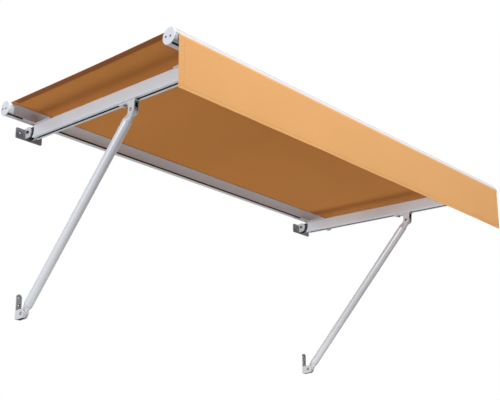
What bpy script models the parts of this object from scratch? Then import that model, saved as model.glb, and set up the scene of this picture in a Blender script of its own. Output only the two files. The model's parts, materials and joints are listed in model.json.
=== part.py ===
"""Fabric awning on a fixed frame, held to a wall by four brackets.

The wall is the plane y = 0 and the awning comes forward along -Y.  The origin lies on the wall
plane, midway between the two arms, at the height of the bolts that the arms turn on.

Outlines are given as (forward, up) pairs.  Forward is the distance in front of the frame's
origin and up is the distance above it, so one outline reads the same on the level wall parts,
on the canopy that slopes down to the front and on the struts that stand at an angle.
"""

import math

import bmesh
import bpy
from mathutils import Matrix, Vector

# Layout
BAR_HALF_LENGTH = 1.0402
ARM_INSET = 0.1602
ARM_X = BAR_HALF_LENGTH - ARM_INSET
PIVOT_FORWARD = 0.024
PITCH = math.radians(4.76)
TOUCH = 0.0003
RUNNING = 0.00008
CUT_SPARE = 0.002

# Arms
ARM_WIDTH = 0.037
ARM_TOP = 0.0245
ARM_BOTTOM = -0.0305
ARM_CORNER = 0.004
ARM_WALL = 0.0025
ARM_FRONT = 1.0900
ARM_BLANK_REAR = 0.020
ARM_REAR_CUT = 0.0455
ARM_SCREW_HOLE_DEPTH = 0.006
SLOT_MOUTH = 0.010
SLOT_LIP = 0.003
SLOT_WIDTH = 0.022
SLOT_HEIGHT = 0.009
END_CAP_THICK = 0.0040
END_CAP_RISE = 0.0030
END_CAP_CORNER = 0.0030
END_CAP_HOOK_INSET = 0.0020

# Cross bars
BAR_RADIUS = 0.0315
BAR_FLAT = 0.0234
BAR_WALL = 0.0022
REAR_BAR_FORWARD = 0.0449
FRONT_BAR_SETBACK = 0.0214
FRONT_BAR_FORWARD = ARM_FRONT - FRONT_BAR_SETBACK
BAR_UP = 0.0482
FRONT_FACE_HOLLOW = 0.0030
REAR_FACE_HOLLOW = 0.0014
CAVITY_TOP_ANGLE = 98.0
FRONT_CAVITY_FLOOR_END = 0.0005
FRONT_CAVITY_SIDE = (
    (0.0045, -0.0100),
    (0.0200, -0.0100),
    (0.0185, -0.0030),
    (0.0185, 0.0080),
    (0.0225, 0.0130),
    (0.0120, 0.0160),
    (0.0055, 0.0190),
)
REAR_CAVITY_FLOOR_END = -0.0010
REAR_CAVITY_SIDE = ((0.0050, 0.0020), (0.0075, 0.0100), (0.0040, 0.0190))
FLANGE_TIP = 0.0010
FLANGE_THICK = 0.0022
CLAMP_SLOT = 0.0050
CLAMP_SLOT_BACK = -0.0180
LIP_TIP = 0.0030
LIP_THICK = 0.0018
FABRIC_SLOT_ANGLE = 57.5
VALANCE_SLOT_ANGLE = 7.0
FACE_TOP_ANGLE = 50.0
FRONT_ROUND_END = -33.0
KEDER_DEPTH = 0.0258
KEDER_CHAMBER = 0.0030
KEDER_NECK = 0.00085
KEDER_RADIUS = 0.0015

# End caps of the bars
CAP_RADIUS = 0.0320
CAP_THICK = 0.0040
CAP_CHAMFER = 0.0010
CAP_COLLAR = 0.0220
COLLAR_TOP_STEP = 2.0
COLLAR_END_ANGLE = -38.0
COLLAR_GAP = 0.0004
CAP_SCREWS = ((-0.0140, 0.0), (0.0100, -0.0030))
CAP_SCREW_RADIUS = 0.0018
CAP_SCREW_HEAD = 0.0036
CAP_SCREW_HEAD_RIM = 0.0010
CAP_SCREW_HEAD_HEIGHT = 0.0020
CAP_SCREW_LENGTH = 0.0160
CAP_SCREW_HOLE_SPARE = 0.004
BOSS_RADIUS = 0.0040
BOSS_WEB_THICK = 0.0024
BOSS_WEB_DROP = 0.0300

# Fabric and valance
CLOTH_INSET = 0.0116
CLOTH_HALF_WIDTH = BAR_HALF_LENGTH - CLOTH_INSET
CLOTH_THICK = 0.0007
CLOTH_GAP = 0.0003
HEM_OVERLAP_ANGLE = 55.0
FABRIC_LIFT = 0.0004
FABRIC_NECK_DEPTH = 0.0010
VALANCE_HEIGHT = 0.2000
VALANCE_BAR_REACH = 0.03619
VALANCE_BAR_RISE = 0.00174
VALANCE_NECK_RISE = 0.0012
VALANCE_FOLD_HEIGHT = 0.0030
VALANCE_FOLD_INSET = 0.0012

# Clamps on the arms
CLAMP_THICK = 0.0050
REAR_CLAMP_REACH = 0.1131
REAR_CLAMP_FRONT = REAR_BAR_FORWARD + REAR_CLAMP_REACH
FRONT_CLAMP_REACH = 0.1416
FRONT_CLAMP_REAR = FRONT_BAR_FORWARD - FRONT_CLAMP_REACH
CLAMP_TONGUE_REACH = 0.0150
CLAMP_TONGUE_GAP = 0.0006
CLAMP_STEP_ROOT = 0.0060
CLAMP_STEP_TOP = 0.0040
CLAMP_STRIP_HALF = 0.0780
CLAMP_STRIP_DEPTH = 0.0110
SADDLE_TOP_ANGLE = 192.0
SADDLE_LIP = 0.0030
SADDLE_FOOT = 0.0120
SADDLE_HEEL = 0.0008
HOOK_GAP = 0.0008
CLAMP_SCREW_INSET = 0.0160
CLAMP_SCREW_RADIUS = 0.0030
CLAMP_SCREW_HEAD = 0.0052
CLAMP_SCREW_HEAD_HEIGHT = 0.0032
CLAMP_SCREW_HEAD_CHAMFER = 0.0009
CLAMP_SCREW_DEPTH = 0.009

# Wall brackets and the knuckles between their ears
PLATE_WIDTH = 0.128
PLATE_THICK = 0.006
PLATE_TOP = 0.016
PLATE_BOTTOM = -0.031
PLATE_CORNER = 0.005
PLATE_HOLE_X = 0.044
PLATE_HOLE_UP = -0.005
PLATE_HOLE_RADIUS = 0.0045
BRACKET_WEB_LOW = 0.012
BRACKET_WEB_INSET = 0.001
EAR_THICK = 0.006
EAR_RADIUS = 0.0235
TONGUE_WIDTH = 0.024
TONGUE_REAR_RADIUS = 0.0172
TONGUE_HALF_HEIGHT = 0.0205
TONGUE_BODY_START = 0.0140
TONGUE_TOP_END = 0.0300
TONGUE_SHOULDER = 0.0345
TONGUE_STEP = 0.0385
TONGUE_STEP_UP = -0.0150
TONGUE_END = 0.0600
TONGUE_END_DROP = 0.0010
KNUCKLE_INSERT_REAR = 0.046
KNUCKLE_INSERT_FRONT = 0.110
BOLT_RADIUS = 0.004
BOLT_HEAD_FLATS = 0.013
BOLT_HEAD_THICK = 0.0055
BOLT_HEAD_CHAMFER = 0.0008
BOLT_TIP = 0.0025
NUT_THICK = 0.0065

# Strut brackets under the arms
STRUT_TOP_FORWARD = 0.6920
STRUT_TOP_UP = -0.0700
FORK_WIDTH = 0.0245
FORK_GAP = 0.0150
FORK_PLATE_THICK = 0.0070
FORK_REACH_REAR = 0.077
FORK_REACH_FRONT = 0.020
FORK_EAR_RADIUS = 0.0175
FORK_EAR_HEEL = 0.010
FORK_EAR_OVERLAP = 0.002
FORK_BOLT_REAR = 0.052
SLOT_NUT_LENGTH = 0.034
SLOT_NUT_WIDTH = 0.019
SLOT_NUT_THICK = 0.006
CLAMP_BOLT_TIP = 0.0012

# Foot brackets on the wall
FOOT_FORWARD = 0.042
FOOT_UP = -0.792
FOOT_WIDTH = 0.0255
FOOT_PLATE_THICK = 0.005
FOOT_PLATE_TOP = -0.704
FOOT_EAR_RADIUS = 0.019
FOOT_HOLES_UP = (-0.718, -0.750)
FOOT_HOLE_RADIUS = 0.0035
FOOT_HOLE_SINK = 0.0060
FOOT_SINK_DEPTH = 0.003

# Struts
TUBE_RADIUS = 0.019
TUBE_WALL = 0.002
FITTING_LENGTH = 0.045
FITTING_COLLAR = 0.003
FITTING_STEP = 0.0008
FITTING_PLUG = 0.040
KNUCKLE_WIDTH = 0.0140
KNUCKLE_RADIUS = 0.0160
KNUCKLE_TAPER_END = 0.022
KNUCKLE_OVERLAP = 0.004
KNUCKLE_SIDE_POWER = 0.35
KNUCKLE_FACE_POWER = 0.60
PIN_RADIUS = 0.004
PIN_HEAD_RADIUS = 0.0070
PIN_HEAD_THICK = 0.0030
PIN_HEAD_SHARE = 0.45
OPEN_PIN_HOLE = 0.0062

SIDES = (("left", -1.0), ("right", 1.0))


# Materials

def make_material(name, colour, roughness, metallic):
    material = bpy.data.materials.new(name)
    material.use_nodes = True
    material.diffuse_color = (*colour, 1.0)
    shader = material.node_tree.nodes["Principled BSDF"]
    shader.inputs["Base Color"].default_value = (*colour, 1.0)
    shader.inputs["Roughness"].default_value = roughness
    shader.inputs["Metallic"].default_value = metallic
    return material


# Outlines

def circle(centre, radius, segments):
    points = []
    for index in range(segments):
        angle = 2.0 * math.pi * index / segments
        points.append((centre[0] + radius * math.cos(angle), centre[1] + radius * math.sin(angle)))
    return points


def arc(centre, radius, start, end, segments):
    """Points of an arc from the start angle to the end angle, both in degrees."""
    points = []
    for index in range(segments + 1):
        angle = math.radians(start + (end - start) * index / segments)
        points.append((centre[0] + radius * math.cos(angle), centre[1] + radius * math.sin(angle)))
    return points


def rounded_rectangle(low, high, radius, segments=4):
    points = []
    corners = (
        ((high[0] - radius, high[1] - radius), 0.0),
        ((low[0] + radius, high[1] - radius), 90.0),
        ((low[0] + radius, low[1] + radius), 180.0),
        ((high[0] - radius, low[1] + radius), 270.0),
    )
    for centre, start in corners:
        points.extend(arc(centre, radius, start, start + 90.0, segments))
    return points


def rectangle(low, high):
    return [low, (high[0], low[1]), high, (low[0], high[1])]


def polar(radius, degrees):
    angle = math.radians(degrees)
    return (radius * math.cos(angle), radius * math.sin(angle))


def shifted(points, offset):
    return [(u + offset[0], v + offset[1]) for u, v in points]


def bowed(start, end, rise, segments):
    """Points between two ends on a shallow curve that lies off the chord by rise at mid-length."""
    along = Vector(end) - Vector(start)
    side = Vector((-along.y, along.x)).normalized()
    points = []
    for index in range(1, segments):
        share = index / segments
        lift = 4.0 * rise * share * (1.0 - share)
        point = Vector(start) + along * share + side * lift
        points.append((point.x, point.y))
    return points


def ribbon(path, thickness):
    """Outline of a strip of constant thickness along a line of points."""
    half = 0.5 * thickness
    left = []
    right = []
    for index, point in enumerate(path):
        here = Vector(point)
        before = Vector(path[max(index - 1, 0)])
        after = Vector(path[min(index + 1, len(path) - 1)])
        incoming = here - before if index > 0 else after - here
        outgoing = after - here if index < len(path) - 1 else incoming
        incoming.normalize()
        outgoing.normalize()
        mitre = (incoming + outgoing).normalized()
        normal = Vector((-mitre.y, mitre.x))
        stretch = 1.0 / max(normal.dot(Vector((-incoming.y, incoming.x))), 0.5)
        left.append(tuple(here + normal * half * stretch))
        right.append(tuple(here - normal * half * stretch))
    return left + right[::-1]


# Solids

def extrude_x(points, low, high):
    """Solid with a (forward, up) outline, between two positions across the awning."""
    mesh = bmesh.new()
    near = [mesh.verts.new((low, -u, v)) for u, v in points]
    far = [mesh.verts.new((high, -u, v)) for u, v in points]
    return close_prism(mesh, near, far)


def extrude_forward(points, low, high):
    """Solid with an (across, up) outline, between two distances forward."""
    mesh = bmesh.new()
    near = [mesh.verts.new((x, -low, z)) for x, z in points]
    far = [mesh.verts.new((x, -high, z)) for x, z in points]
    return close_prism(mesh, near, far)


def close_prism(mesh, near, far):
    mesh.faces.new(near)
    mesh.faces.new(far[::-1])
    for index in range(len(near)):
        after = (index + 1) % len(near)
        mesh.faces.new((near[index], near[after], far[after], far[index]))
    return mesh


def lathe(profile, origin, axis, segments):
    """Solid of revolution from (distance along the axis, radius) pairs that start and end on it."""
    mesh = bmesh.new()
    axis = Vector(axis).normalized()
    side = axis.orthogonal().normalized()
    other = axis.cross(side)
    rings = []
    for distance, radius in profile:
        centre = Vector(origin) + axis * distance
        if radius == 0.0:
            rings.append([mesh.verts.new(centre)])
            continue
        ring = []
        for index in range(segments):
            angle = 2.0 * math.pi * (index + 0.5) / segments
            offset = side * math.cos(angle) + other * math.sin(angle)
            ring.append(mesh.verts.new(centre + offset * radius))
        rings.append(ring)
    for lower, upper in zip(rings, rings[1:]):
        for index in range(segments):
            after = (index + 1) % segments
            if len(lower) == 1:
                mesh.faces.new((lower[0], upper[after], upper[index]))
            elif len(upper) == 1:
                mesh.faces.new((lower[index], lower[after], upper[0]))
            else:
                mesh.faces.new((lower[index], lower[after], upper[after], upper[index]))
    return mesh


def rod(start, end, radius, segments=16):
    axis = Vector(end) - Vector(start)
    length = axis.length
    return lathe([(0.0, 0.0), (0.0, radius), (length, radius), (length, 0.0)], start, axis, segments)


def loft(sections):
    """Solid through (up, outline) sections that share one number of (across, forward) points."""
    mesh = bmesh.new()
    rings = []
    for height, outline in sections:
        rings.append([mesh.verts.new((x, -u, height)) for x, u in outline])
    mesh.faces.new(rings[0])
    mesh.faces.new(rings[-1][::-1])
    for lower, upper in zip(rings, rings[1:]):
        for index in range(len(lower)):
            after = (index + 1) % len(lower)
            mesh.faces.new((lower[index], lower[after], upper[after], upper[index]))
    return mesh


def solid(name, mesh):
    """Object in its frame's own coordinates from a closed mesh."""
    bmesh.ops.recalc_face_normals(mesh, faces=mesh.faces)
    data = bpy.data.meshes.new(name)
    mesh.to_mesh(data)
    mesh.free()
    thing = bpy.data.objects.new(name, data)
    bpy.context.scene.collection.objects.link(thing)
    return thing


def combine(thing, tool, operation):
    """Join a second object to the first, or cut it away, and remove the second."""
    modifier = thing.modifiers.new("combine", "BOOLEAN")
    modifier.operation = operation
    modifier.solver = "EXACT"
    modifier.object = tool
    bpy.context.view_layer.update()
    graph = bpy.context.evaluated_depsgraph_get()
    result = bpy.data.meshes.new_from_object(thing.evaluated_get(graph))
    thing.modifiers.clear()
    old = thing.data
    thing.data = result
    bpy.data.meshes.remove(old)
    bpy.data.objects.remove(tool)
    return thing


def cut(thing, mesh):
    return combine(thing, solid("tool", mesh), "DIFFERENCE")


def join(thing, mesh):
    return combine(thing, solid("tool", mesh), "UNION")


def finish(thing, frame, material, smooth_angle=32.0):
    """Give a solid its material and shading and put it in its frame."""
    thing.data.materials.clear()
    thing.data.materials.append(material)
    thing.data.shade_smooth()
    thing.data.set_sharp_from_angle(angle=math.radians(smooth_angle))
    thing.matrix_world = frame
    return thing


# Frames

def canopy_frame():
    return Matrix.Translation((0.0, -PIVOT_FORWARD, 0.0)) @ Matrix.Rotation(PITCH, 4, "X")


def canopy_point(forward, up):
    """World (forward, up) of a point given in the canopy's frame."""
    point = canopy_frame() @ Vector((0.0, -forward, up))
    return Vector((-point.y, point.z))


def strut_span():
    return canopy_point(STRUT_TOP_FORWARD, STRUT_TOP_UP) - Vector((FOOT_FORWARD, FOOT_UP))


def strut_frame():
    span = strut_span()
    lean = math.atan2(span.x, span.y)
    return Matrix.Translation((0.0, -FOOT_FORWARD, FOOT_UP)) @ Matrix.Rotation(lean, 4, "X")


# Cross bars

def front_bar_centre():
    return Vector((FRONT_BAR_FORWARD, BAR_UP))


def rear_bar_centre():
    return Vector((REAR_BAR_FORWARD, BAR_UP))


def bar_place(bar_centre, radius, degrees):
    return tuple(bar_centre + Vector(polar(radius, degrees)))


def slot_levels():
    """Floor and roof of the slot under a bar, and the top of the lip over it."""
    floor = -BAR_FLAT + FLANGE_THICK
    roof = floor + CLAMP_SLOT
    return floor, roof, roof + LIP_THICK


def rear_face():
    """Hollow face of the rear bar, from the lip up to its round back."""
    low = (LIP_TIP, slot_levels()[2])
    high = polar(BAR_RADIUS, FACE_TOP_ANGLE)
    return [low] + bowed(low, high, REAR_FACE_HOLLOW, 5) + [high]


def keder_slot(degrees):
    """Outline points of a round chamber with a narrow neck, entered from the clockwise side."""
    centre = Vector(polar(KEDER_DEPTH, degrees))
    outward = Vector(polar(1.0, degrees))
    across = Vector((-outward.y, outward.x))
    mouth = math.sqrt(BAR_RADIUS ** 2 - KEDER_NECK ** 2)
    half = math.degrees(math.asin(KEDER_NECK / KEDER_CHAMBER))
    points = [tuple(outward * mouth - across * KEDER_NECK)]
    points.extend(arc(centre, KEDER_CHAMBER, degrees - half, degrees - 360.0 + half, 12))
    points.append(tuple(outward * mouth + across * KEDER_NECK))
    return points


def bar_outline(front):
    """Section of a bar about its own centre, counter-clockwise from the front of the fabric slot."""
    neck = math.degrees(math.asin(KEDER_NECK / BAR_RADIUS))
    flat_angle = 180.0 + math.degrees(math.asin(BAR_FLAT / BAR_RADIUS))
    slot_floor, slot_roof, lip_top = slot_levels()
    points = keder_slot(FABRIC_SLOT_ANGLE)
    points.extend(arc((0.0, 0.0), BAR_RADIUS, FABRIC_SLOT_ANGLE + neck + 5.0, flat_angle, 20))
    points.append((FLANGE_TIP, -BAR_FLAT))
    points.append((FLANGE_TIP, slot_floor))
    points.append((CLAMP_SLOT_BACK, slot_floor))
    points.append((CLAMP_SLOT_BACK, slot_roof))
    points.append((LIP_TIP, slot_roof))
    if front:
        round_start = polar(BAR_RADIUS, FRONT_ROUND_END)
        points.append((LIP_TIP, lip_top))
        points.extend(bowed((LIP_TIP, lip_top), round_start, FRONT_FACE_HOLLOW, 5))
        points.extend(arc((0.0, 0.0), BAR_RADIUS, FRONT_ROUND_END, VALANCE_SLOT_ANGLE - neck - 2.0, 5))
        points.extend(keder_slot(VALANCE_SLOT_ANGLE))
        points.extend(arc((0.0, 0.0), BAR_RADIUS, VALANCE_SLOT_ANGLE + neck + 4.0,
                          FABRIC_SLOT_ANGLE - neck - 4.0, 6))
    else:
        points.extend(rear_face())
    return points


def bar_cavity(front):
    """Inside of a bar, kept clear of its slots."""
    inner = BAR_RADIUS - BAR_WALL
    floor = slot_levels()[1] + BAR_WALL
    rear_angle = 180.0 + math.degrees(math.asin(-floor / inner))
    points = arc((0.0, 0.0), inner, CAVITY_TOP_ANGLE, rear_angle, 12)
    points.append((FRONT_CAVITY_FLOOR_END if front else REAR_CAVITY_FLOOR_END, floor))
    points.extend(FRONT_CAVITY_SIDE if front else REAR_CAVITY_SIDE)
    return points


def make_bar(name, front, material):
    """Bar with a hollow inside, where a boss on a web takes each cap screw."""
    centre = front_bar_centre() if front else rear_bar_centre()
    bar = solid(name, extrude_x(shifted(bar_outline(front), centre), -BAR_HALF_LENGTH, BAR_HALF_LENGTH))
    reach = BAR_HALF_LENGTH + CUT_SPARE
    cavity = solid("cavity", extrude_x(shifted(bar_cavity(front), centre), -reach, reach))
    bosses = shifted(CAP_SCREWS if front else CAP_SCREWS[:1], centre)
    for boss in bosses:
        cut(cavity, extrude_x(circle(boss, BOSS_RADIUS, 16), -reach - CUT_SPARE, reach + CUT_SPARE))
        web = rectangle((boss[0] - 0.5 * BOSS_WEB_THICK, boss[1] - BOSS_WEB_DROP),
                        (boss[0] + 0.5 * BOSS_WEB_THICK, boss[1]))
        cut(cavity, extrude_x(web, -reach - CUT_SPARE, reach + CUT_SPARE))
    combine(bar, cavity, "DIFFERENCE")
    for forward, up in bosses:
        for _, side in SIDES:
            inner = (side * (BAR_HALF_LENGTH - CAP_SCREW_LENGTH), -forward, up)
            outer = (side * (BAR_HALF_LENGTH + CUT_SPARE), -forward, up)
            cut(bar, rod(inner, outer, CAP_SCREW_RADIUS + TOUCH, 12))
    return finish(bar, canopy_frame(), material, 25.0)


def make_bar_cap(name, side, front, material):
    """Round cap on a bar's end; the rear ones carry a collar that fills the bar's front face."""
    forward = (front_bar_centre() if front else rear_bar_centre()).x
    inner = BAR_HALF_LENGTH + TOUCH
    profile = [
        (0.0, 0.0),
        (0.0, CAP_RADIUS),
        (CAP_THICK - CAP_CHAMFER, CAP_RADIUS),
        (CAP_THICK, CAP_RADIUS - CAP_CHAMFER),
        (CAP_THICK, 0.0),
    ]
    origin = (side * inner, -forward, BAR_UP)
    cap = solid(name, lathe(profile, origin, (side, 0.0, 0.0), 40))
    if not front:
        join(cap, collar(side, forward))
    for u, v in CAP_SCREWS:
        place = (-(forward + u), BAR_UP + v)
        start = (side * (inner - CAP_SCREW_LENGTH - CAP_SCREW_HOLE_SPARE), *place)
        end = (side * (inner + CAP_THICK + CUT_SPARE), *place)
        cut(cap, rod(start, end, CAP_SCREW_RADIUS + TOUCH, 12))
    return finish(cap, canopy_frame(), material)


def collar(side, forward):
    seat = [(u + COLLAR_GAP, v - 0.2 * COLLAR_GAP) for u, v in rear_face()[:-1]]
    seat.append(polar(BAR_RADIUS, FACE_TOP_ANGLE - COLLAR_TOP_STEP))
    outer = arc((0.0, 0.0), BAR_RADIUS, FACE_TOP_ANGLE - 2.0 * COLLAR_TOP_STEP, COLLAR_END_ANGLE, 12)
    outline = shifted(seat + outer, (forward, BAR_UP))
    inner = side * (BAR_HALF_LENGTH + TOUCH - CAP_COLLAR)
    outer_x = side * (BAR_HALF_LENGTH + TOUCH + 0.5 * CAP_THICK)
    return extrude_x(outline, inner, outer_x)


def make_cap_screw(name, side, front, offset, material):
    forward = (front_bar_centre() if front else rear_bar_centre()).x
    face = BAR_HALF_LENGTH + TOUCH + CAP_THICK
    crown = CAP_SCREW_LENGTH + CAP_SCREW_HEAD_HEIGHT
    profile = [
        (0.0, 0.0),
        (0.0, CAP_SCREW_RADIUS),
        (CAP_SCREW_LENGTH, CAP_SCREW_RADIUS),
        (CAP_SCREW_LENGTH, CAP_SCREW_HEAD),
        (CAP_SCREW_LENGTH + CAP_SCREW_HEAD_RIM, CAP_SCREW_HEAD),
        (crown - 0.1 * CAP_SCREW_HEAD_HEIGHT, 0.55 * CAP_SCREW_HEAD),
        (crown, 0.0),
    ]
    start = side * (face + TOUCH - CAP_SCREW_LENGTH)
    origin = (start, -(forward + offset[0]), BAR_UP + offset[1])
    screw = solid(name, lathe(profile, origin, (side, 0.0, 0.0), 10))
    return finish(screw, canopy_frame(), material)


# Fabric, valance and the rods in their hems

def hem_loop(centre, degrees):
    """Line of a hem once round its rod, from the free end to where it leaves through the neck."""
    radius = KEDER_RADIUS + CLOTH_GAP + 0.5 * CLOTH_THICK
    return arc(centre, radius, degrees + HEM_OVERLAP_ANGLE, degrees + 360.0, 12)


def make_fabric(material):
    wrap = BAR_RADIUS + CLOTH_GAP + 0.5 * CLOTH_THICK
    rear_keder = bar_place(rear_bar_centre(), KEDER_DEPTH, FABRIC_SLOT_ANGLE)
    front_keder = bar_place(front_bar_centre(), KEDER_DEPTH, FABRIC_SLOT_ANGLE)
    path = hem_loop(rear_keder, FABRIC_SLOT_ANGLE)
    path.append(bar_place(rear_bar_centre(), BAR_RADIUS, FABRIC_SLOT_ANGLE))
    path.append(bar_place(rear_bar_centre(), wrap + FABRIC_LIFT, FABRIC_SLOT_ANGLE - 1.0))
    path.extend(arc(front_bar_centre(), wrap, 90.0, FABRIC_SLOT_ANGLE, 7))
    path.append(bar_place(front_bar_centre(), BAR_RADIUS - FABRIC_NECK_DEPTH, FABRIC_SLOT_ANGLE))
    path.extend(hem_loop(front_keder, FABRIC_SLOT_ANGLE)[::-1])
    outline = ribbon(path, CLOTH_THICK)
    cloth = solid("fabric", extrude_x(outline, -CLOTH_HALF_WIDTH, CLOTH_HALF_WIDTH))
    return finish(cloth, canopy_frame(), material)


def valance_path():
    """Line of the valance in the canopy's frame: round its rod, out of the bar and straight down."""
    keder = bar_place(front_bar_centre(), KEDER_DEPTH, VALANCE_SLOT_ANGLE)
    plane, top = canopy_point(*front_bar_centre()) + Vector((VALANCE_BAR_REACH, VALANCE_BAR_RISE))
    hang = [
        (plane - VALANCE_FOLD_INSET, top - VALANCE_FOLD_HEIGHT / 3.0),
        (plane, top - VALANCE_FOLD_HEIGHT),
        (plane, top - VALANCE_HEIGHT),
    ]
    path = hem_loop(keder, VALANCE_SLOT_ANGLE)
    path.append(bar_place(front_bar_centre(), BAR_RADIUS + VALANCE_NECK_RISE, VALANCE_SLOT_ANGLE))
    for forward, up in hang:
        point = canopy_frame().inverted() @ Vector((0.0, -forward, up))
        path.append((-point.y, point.z))
    return path


def make_valance(material):
    outline = ribbon(valance_path(), CLOTH_THICK)
    cloth = solid("valance", extrude_x(outline, -CLOTH_HALF_WIDTH, CLOTH_HALF_WIDTH))
    return finish(cloth, canopy_frame(), material)


def make_keder(name, bar_centre, degrees, material):
    place = bar_place(bar_centre, KEDER_DEPTH, degrees)
    start = (-CLOTH_HALF_WIDTH, -place[0], place[1])
    end = (CLOTH_HALF_WIDTH, -place[0], place[1])
    return finish(solid(name, rod(start, end, KEDER_RADIUS, 12)), canopy_frame(), material)


# Arms

def arm_section():
    """Arm outline about its own middle, as (across, up), with the T-slot open at the bottom."""
    half = 0.5 * ARM_WIDTH
    shell = rounded_rectangle((-half, ARM_BOTTOM), (half, ARM_TOP), ARM_CORNER, 3)
    lip = ARM_BOTTOM + SLOT_LIP
    roof = lip + SLOT_HEIGHT
    slot = [
        (-0.5 * SLOT_MOUTH, ARM_BOTTOM),
        (-0.5 * SLOT_MOUTH, lip),
        (-0.5 * SLOT_WIDTH, lip),
        (-0.5 * SLOT_WIDTH, roof),
        (0.5 * SLOT_WIDTH, roof),
        (0.5 * SLOT_WIDTH, lip),
        (0.5 * SLOT_MOUTH, lip),
        (0.5 * SLOT_MOUTH, ARM_BOTTOM),
    ]
    lower_left = 12
    return shell[:lower_left] + slot + shell[lower_left:]


def arm_roof():
    """Height of the floor of the arm's upper hollow."""
    return ARM_BOTTOM + SLOT_LIP + SLOT_HEIGHT + ARM_WALL


def arm_cavity():
    half = 0.5 * ARM_WIDTH - ARM_WALL
    return rectangle((-half, arm_roof()), (half, ARM_TOP - ARM_WALL))


def make_arm(name, x, material):
    outline = shifted(arm_section(), (x, 0.0))
    arm = solid(name, extrude_forward(outline, ARM_BLANK_REAR, ARM_FRONT))
    cut(arm, extrude_forward(shifted(arm_cavity(), (x, 0.0)), 0.0, ARM_FRONT + CUT_SPARE))
    half = 0.5 * ARM_WIDTH + CUT_SPARE
    cut(arm, extrude_x(circle((0.0, 0.0), ARM_REAR_CUT, 96), x - half, x + half))
    for forward in (REAR_CLAMP_FRONT - CLAMP_SCREW_INSET, FRONT_CLAMP_REAR + CLAMP_SCREW_INSET):
        bottom = (x, -forward, ARM_TOP - ARM_SCREW_HOLE_DEPTH)
        top = (x, -forward, ARM_TOP + CUT_SPARE)
        cut(arm, rod(bottom, top, CLAMP_SCREW_RADIUS + TOUCH, 12))
    return finish(arm, canopy_frame(), material)


def make_knuckle(name, x, material):
    """Insert in the arm's rear end, with the rounded tongue that turns on the wall bolt."""
    tongue = arc((0.0, 0.0), TONGUE_REAR_RADIUS, 100.0, 260.0, 12)
    tongue.append((TONGUE_BODY_START, -TONGUE_HALF_HEIGHT))
    tongue.append((TONGUE_SHOULDER, -TONGUE_HALF_HEIGHT))
    tongue.append((TONGUE_STEP, TONGUE_STEP_UP))
    tongue.append((TONGUE_END, TONGUE_STEP_UP))
    tongue.append((TONGUE_END, TONGUE_HALF_HEIGHT - TONGUE_END_DROP))
    tongue.append((TONGUE_TOP_END, TONGUE_HALF_HEIGHT))
    tongue.append((TONGUE_BODY_START, TONGUE_HALF_HEIGHT))
    half = 0.5 * TONGUE_WIDTH
    knuckle = solid(name, extrude_x(tongue, x - half, x + half))
    inner = 0.5 * ARM_WIDTH - ARM_WALL - TOUCH
    insert = rectangle((KNUCKLE_INSERT_REAR, arm_roof() + TOUCH),
                       (KNUCKLE_INSERT_FRONT, ARM_TOP - ARM_WALL - TOUCH))
    join(knuckle, extrude_x(insert, x - inner, x + inner))
    start = (x - half - CUT_SPARE, 0.0, 0.0)
    end = (x + half + CUT_SPARE, 0.0, 0.0)
    cut(knuckle, rod(start, end, BOLT_RADIUS + RUNNING, 24))
    return finish(knuckle, canopy_frame(), material)


def make_arm_end_cap(name, x, material):
    """Cover of the arm's front end; its hook holds the front bar by the lower slot."""
    half = 0.5 * ARM_WIDTH
    front = ARM_FRONT + TOUCH
    cover = rounded_rectangle((x - half, ARM_BOTTOM), (x + half, ARM_TOP + END_CAP_RISE), END_CAP_CORNER, 3)
    cap = solid(name, extrude_forward(cover, front, front + END_CAP_THICK))
    tip = FRONT_BAR_FORWARD + LIP_TIP + HOOK_GAP
    hook = hook_outline(tip, front + 0.5 * END_CAP_THICK, FRONT_BAR_FORWARD)
    reach = half - END_CAP_HOOK_INSET
    join(cap, extrude_x(hook, x - reach, x + reach))
    return finish(cap, canopy_frame(), material)


def hook_outline(step, end, bar_forward):
    """Outline of a clamp's tongue in a bar's lower slot and of the plate ahead of the step."""
    slot_floor, slot_roof, _ = slot_levels()
    low = BAR_UP + slot_floor + TOUCH
    high = BAR_UP + slot_roof - TOUCH
    seat = ARM_TOP + TOUCH
    flange = bar_forward + FLANGE_TIP + CLAMP_TONGUE_GAP
    return [
        (bar_forward - CLAMP_TONGUE_REACH, low),
        (flange, low),
        (flange, seat),
        (end, seat),
        (end, seat + CLAMP_THICK),
        (step + CLAMP_STEP_ROOT, seat + CLAMP_THICK),
        (step + CLAMP_STEP_TOP, high),
        (bar_forward - CLAMP_TONGUE_REACH, high),
    ]


# Clamps on top of the arms

def make_clamp_screw(name, x, forward, material):
    top = ARM_TOP + TOUCH + CLAMP_THICK + TOUCH
    bottom = ARM_TOP - CLAMP_SCREW_DEPTH
    length = top - bottom
    crown = length + CLAMP_SCREW_HEAD_HEIGHT
    profile = [
        (0.0, 0.0),
        (0.0, CLAMP_SCREW_RADIUS),
        (length, CLAMP_SCREW_RADIUS),
        (length, CLAMP_SCREW_HEAD),
        (crown - CLAMP_SCREW_HEAD_CHAMFER, CLAMP_SCREW_HEAD),
        (crown, CLAMP_SCREW_HEAD - CLAMP_SCREW_HEAD_CHAMFER),
        (crown, 0.0),
    ]
    screw = solid(name, lathe(profile, (x, -forward, bottom), (0.0, 0.0, 1.0), 12))
    return finish(screw, canopy_frame(), material)


def clamp_screw_hole(x, forward):
    bottom = (x, -forward, ARM_TOP - CUT_SPARE)
    top = (x, -forward, ARM_TOP + CLAMP_THICK + CUT_SPARE)
    return rod(bottom, top, CLAMP_SCREW_RADIUS + TOUCH, 12)


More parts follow.
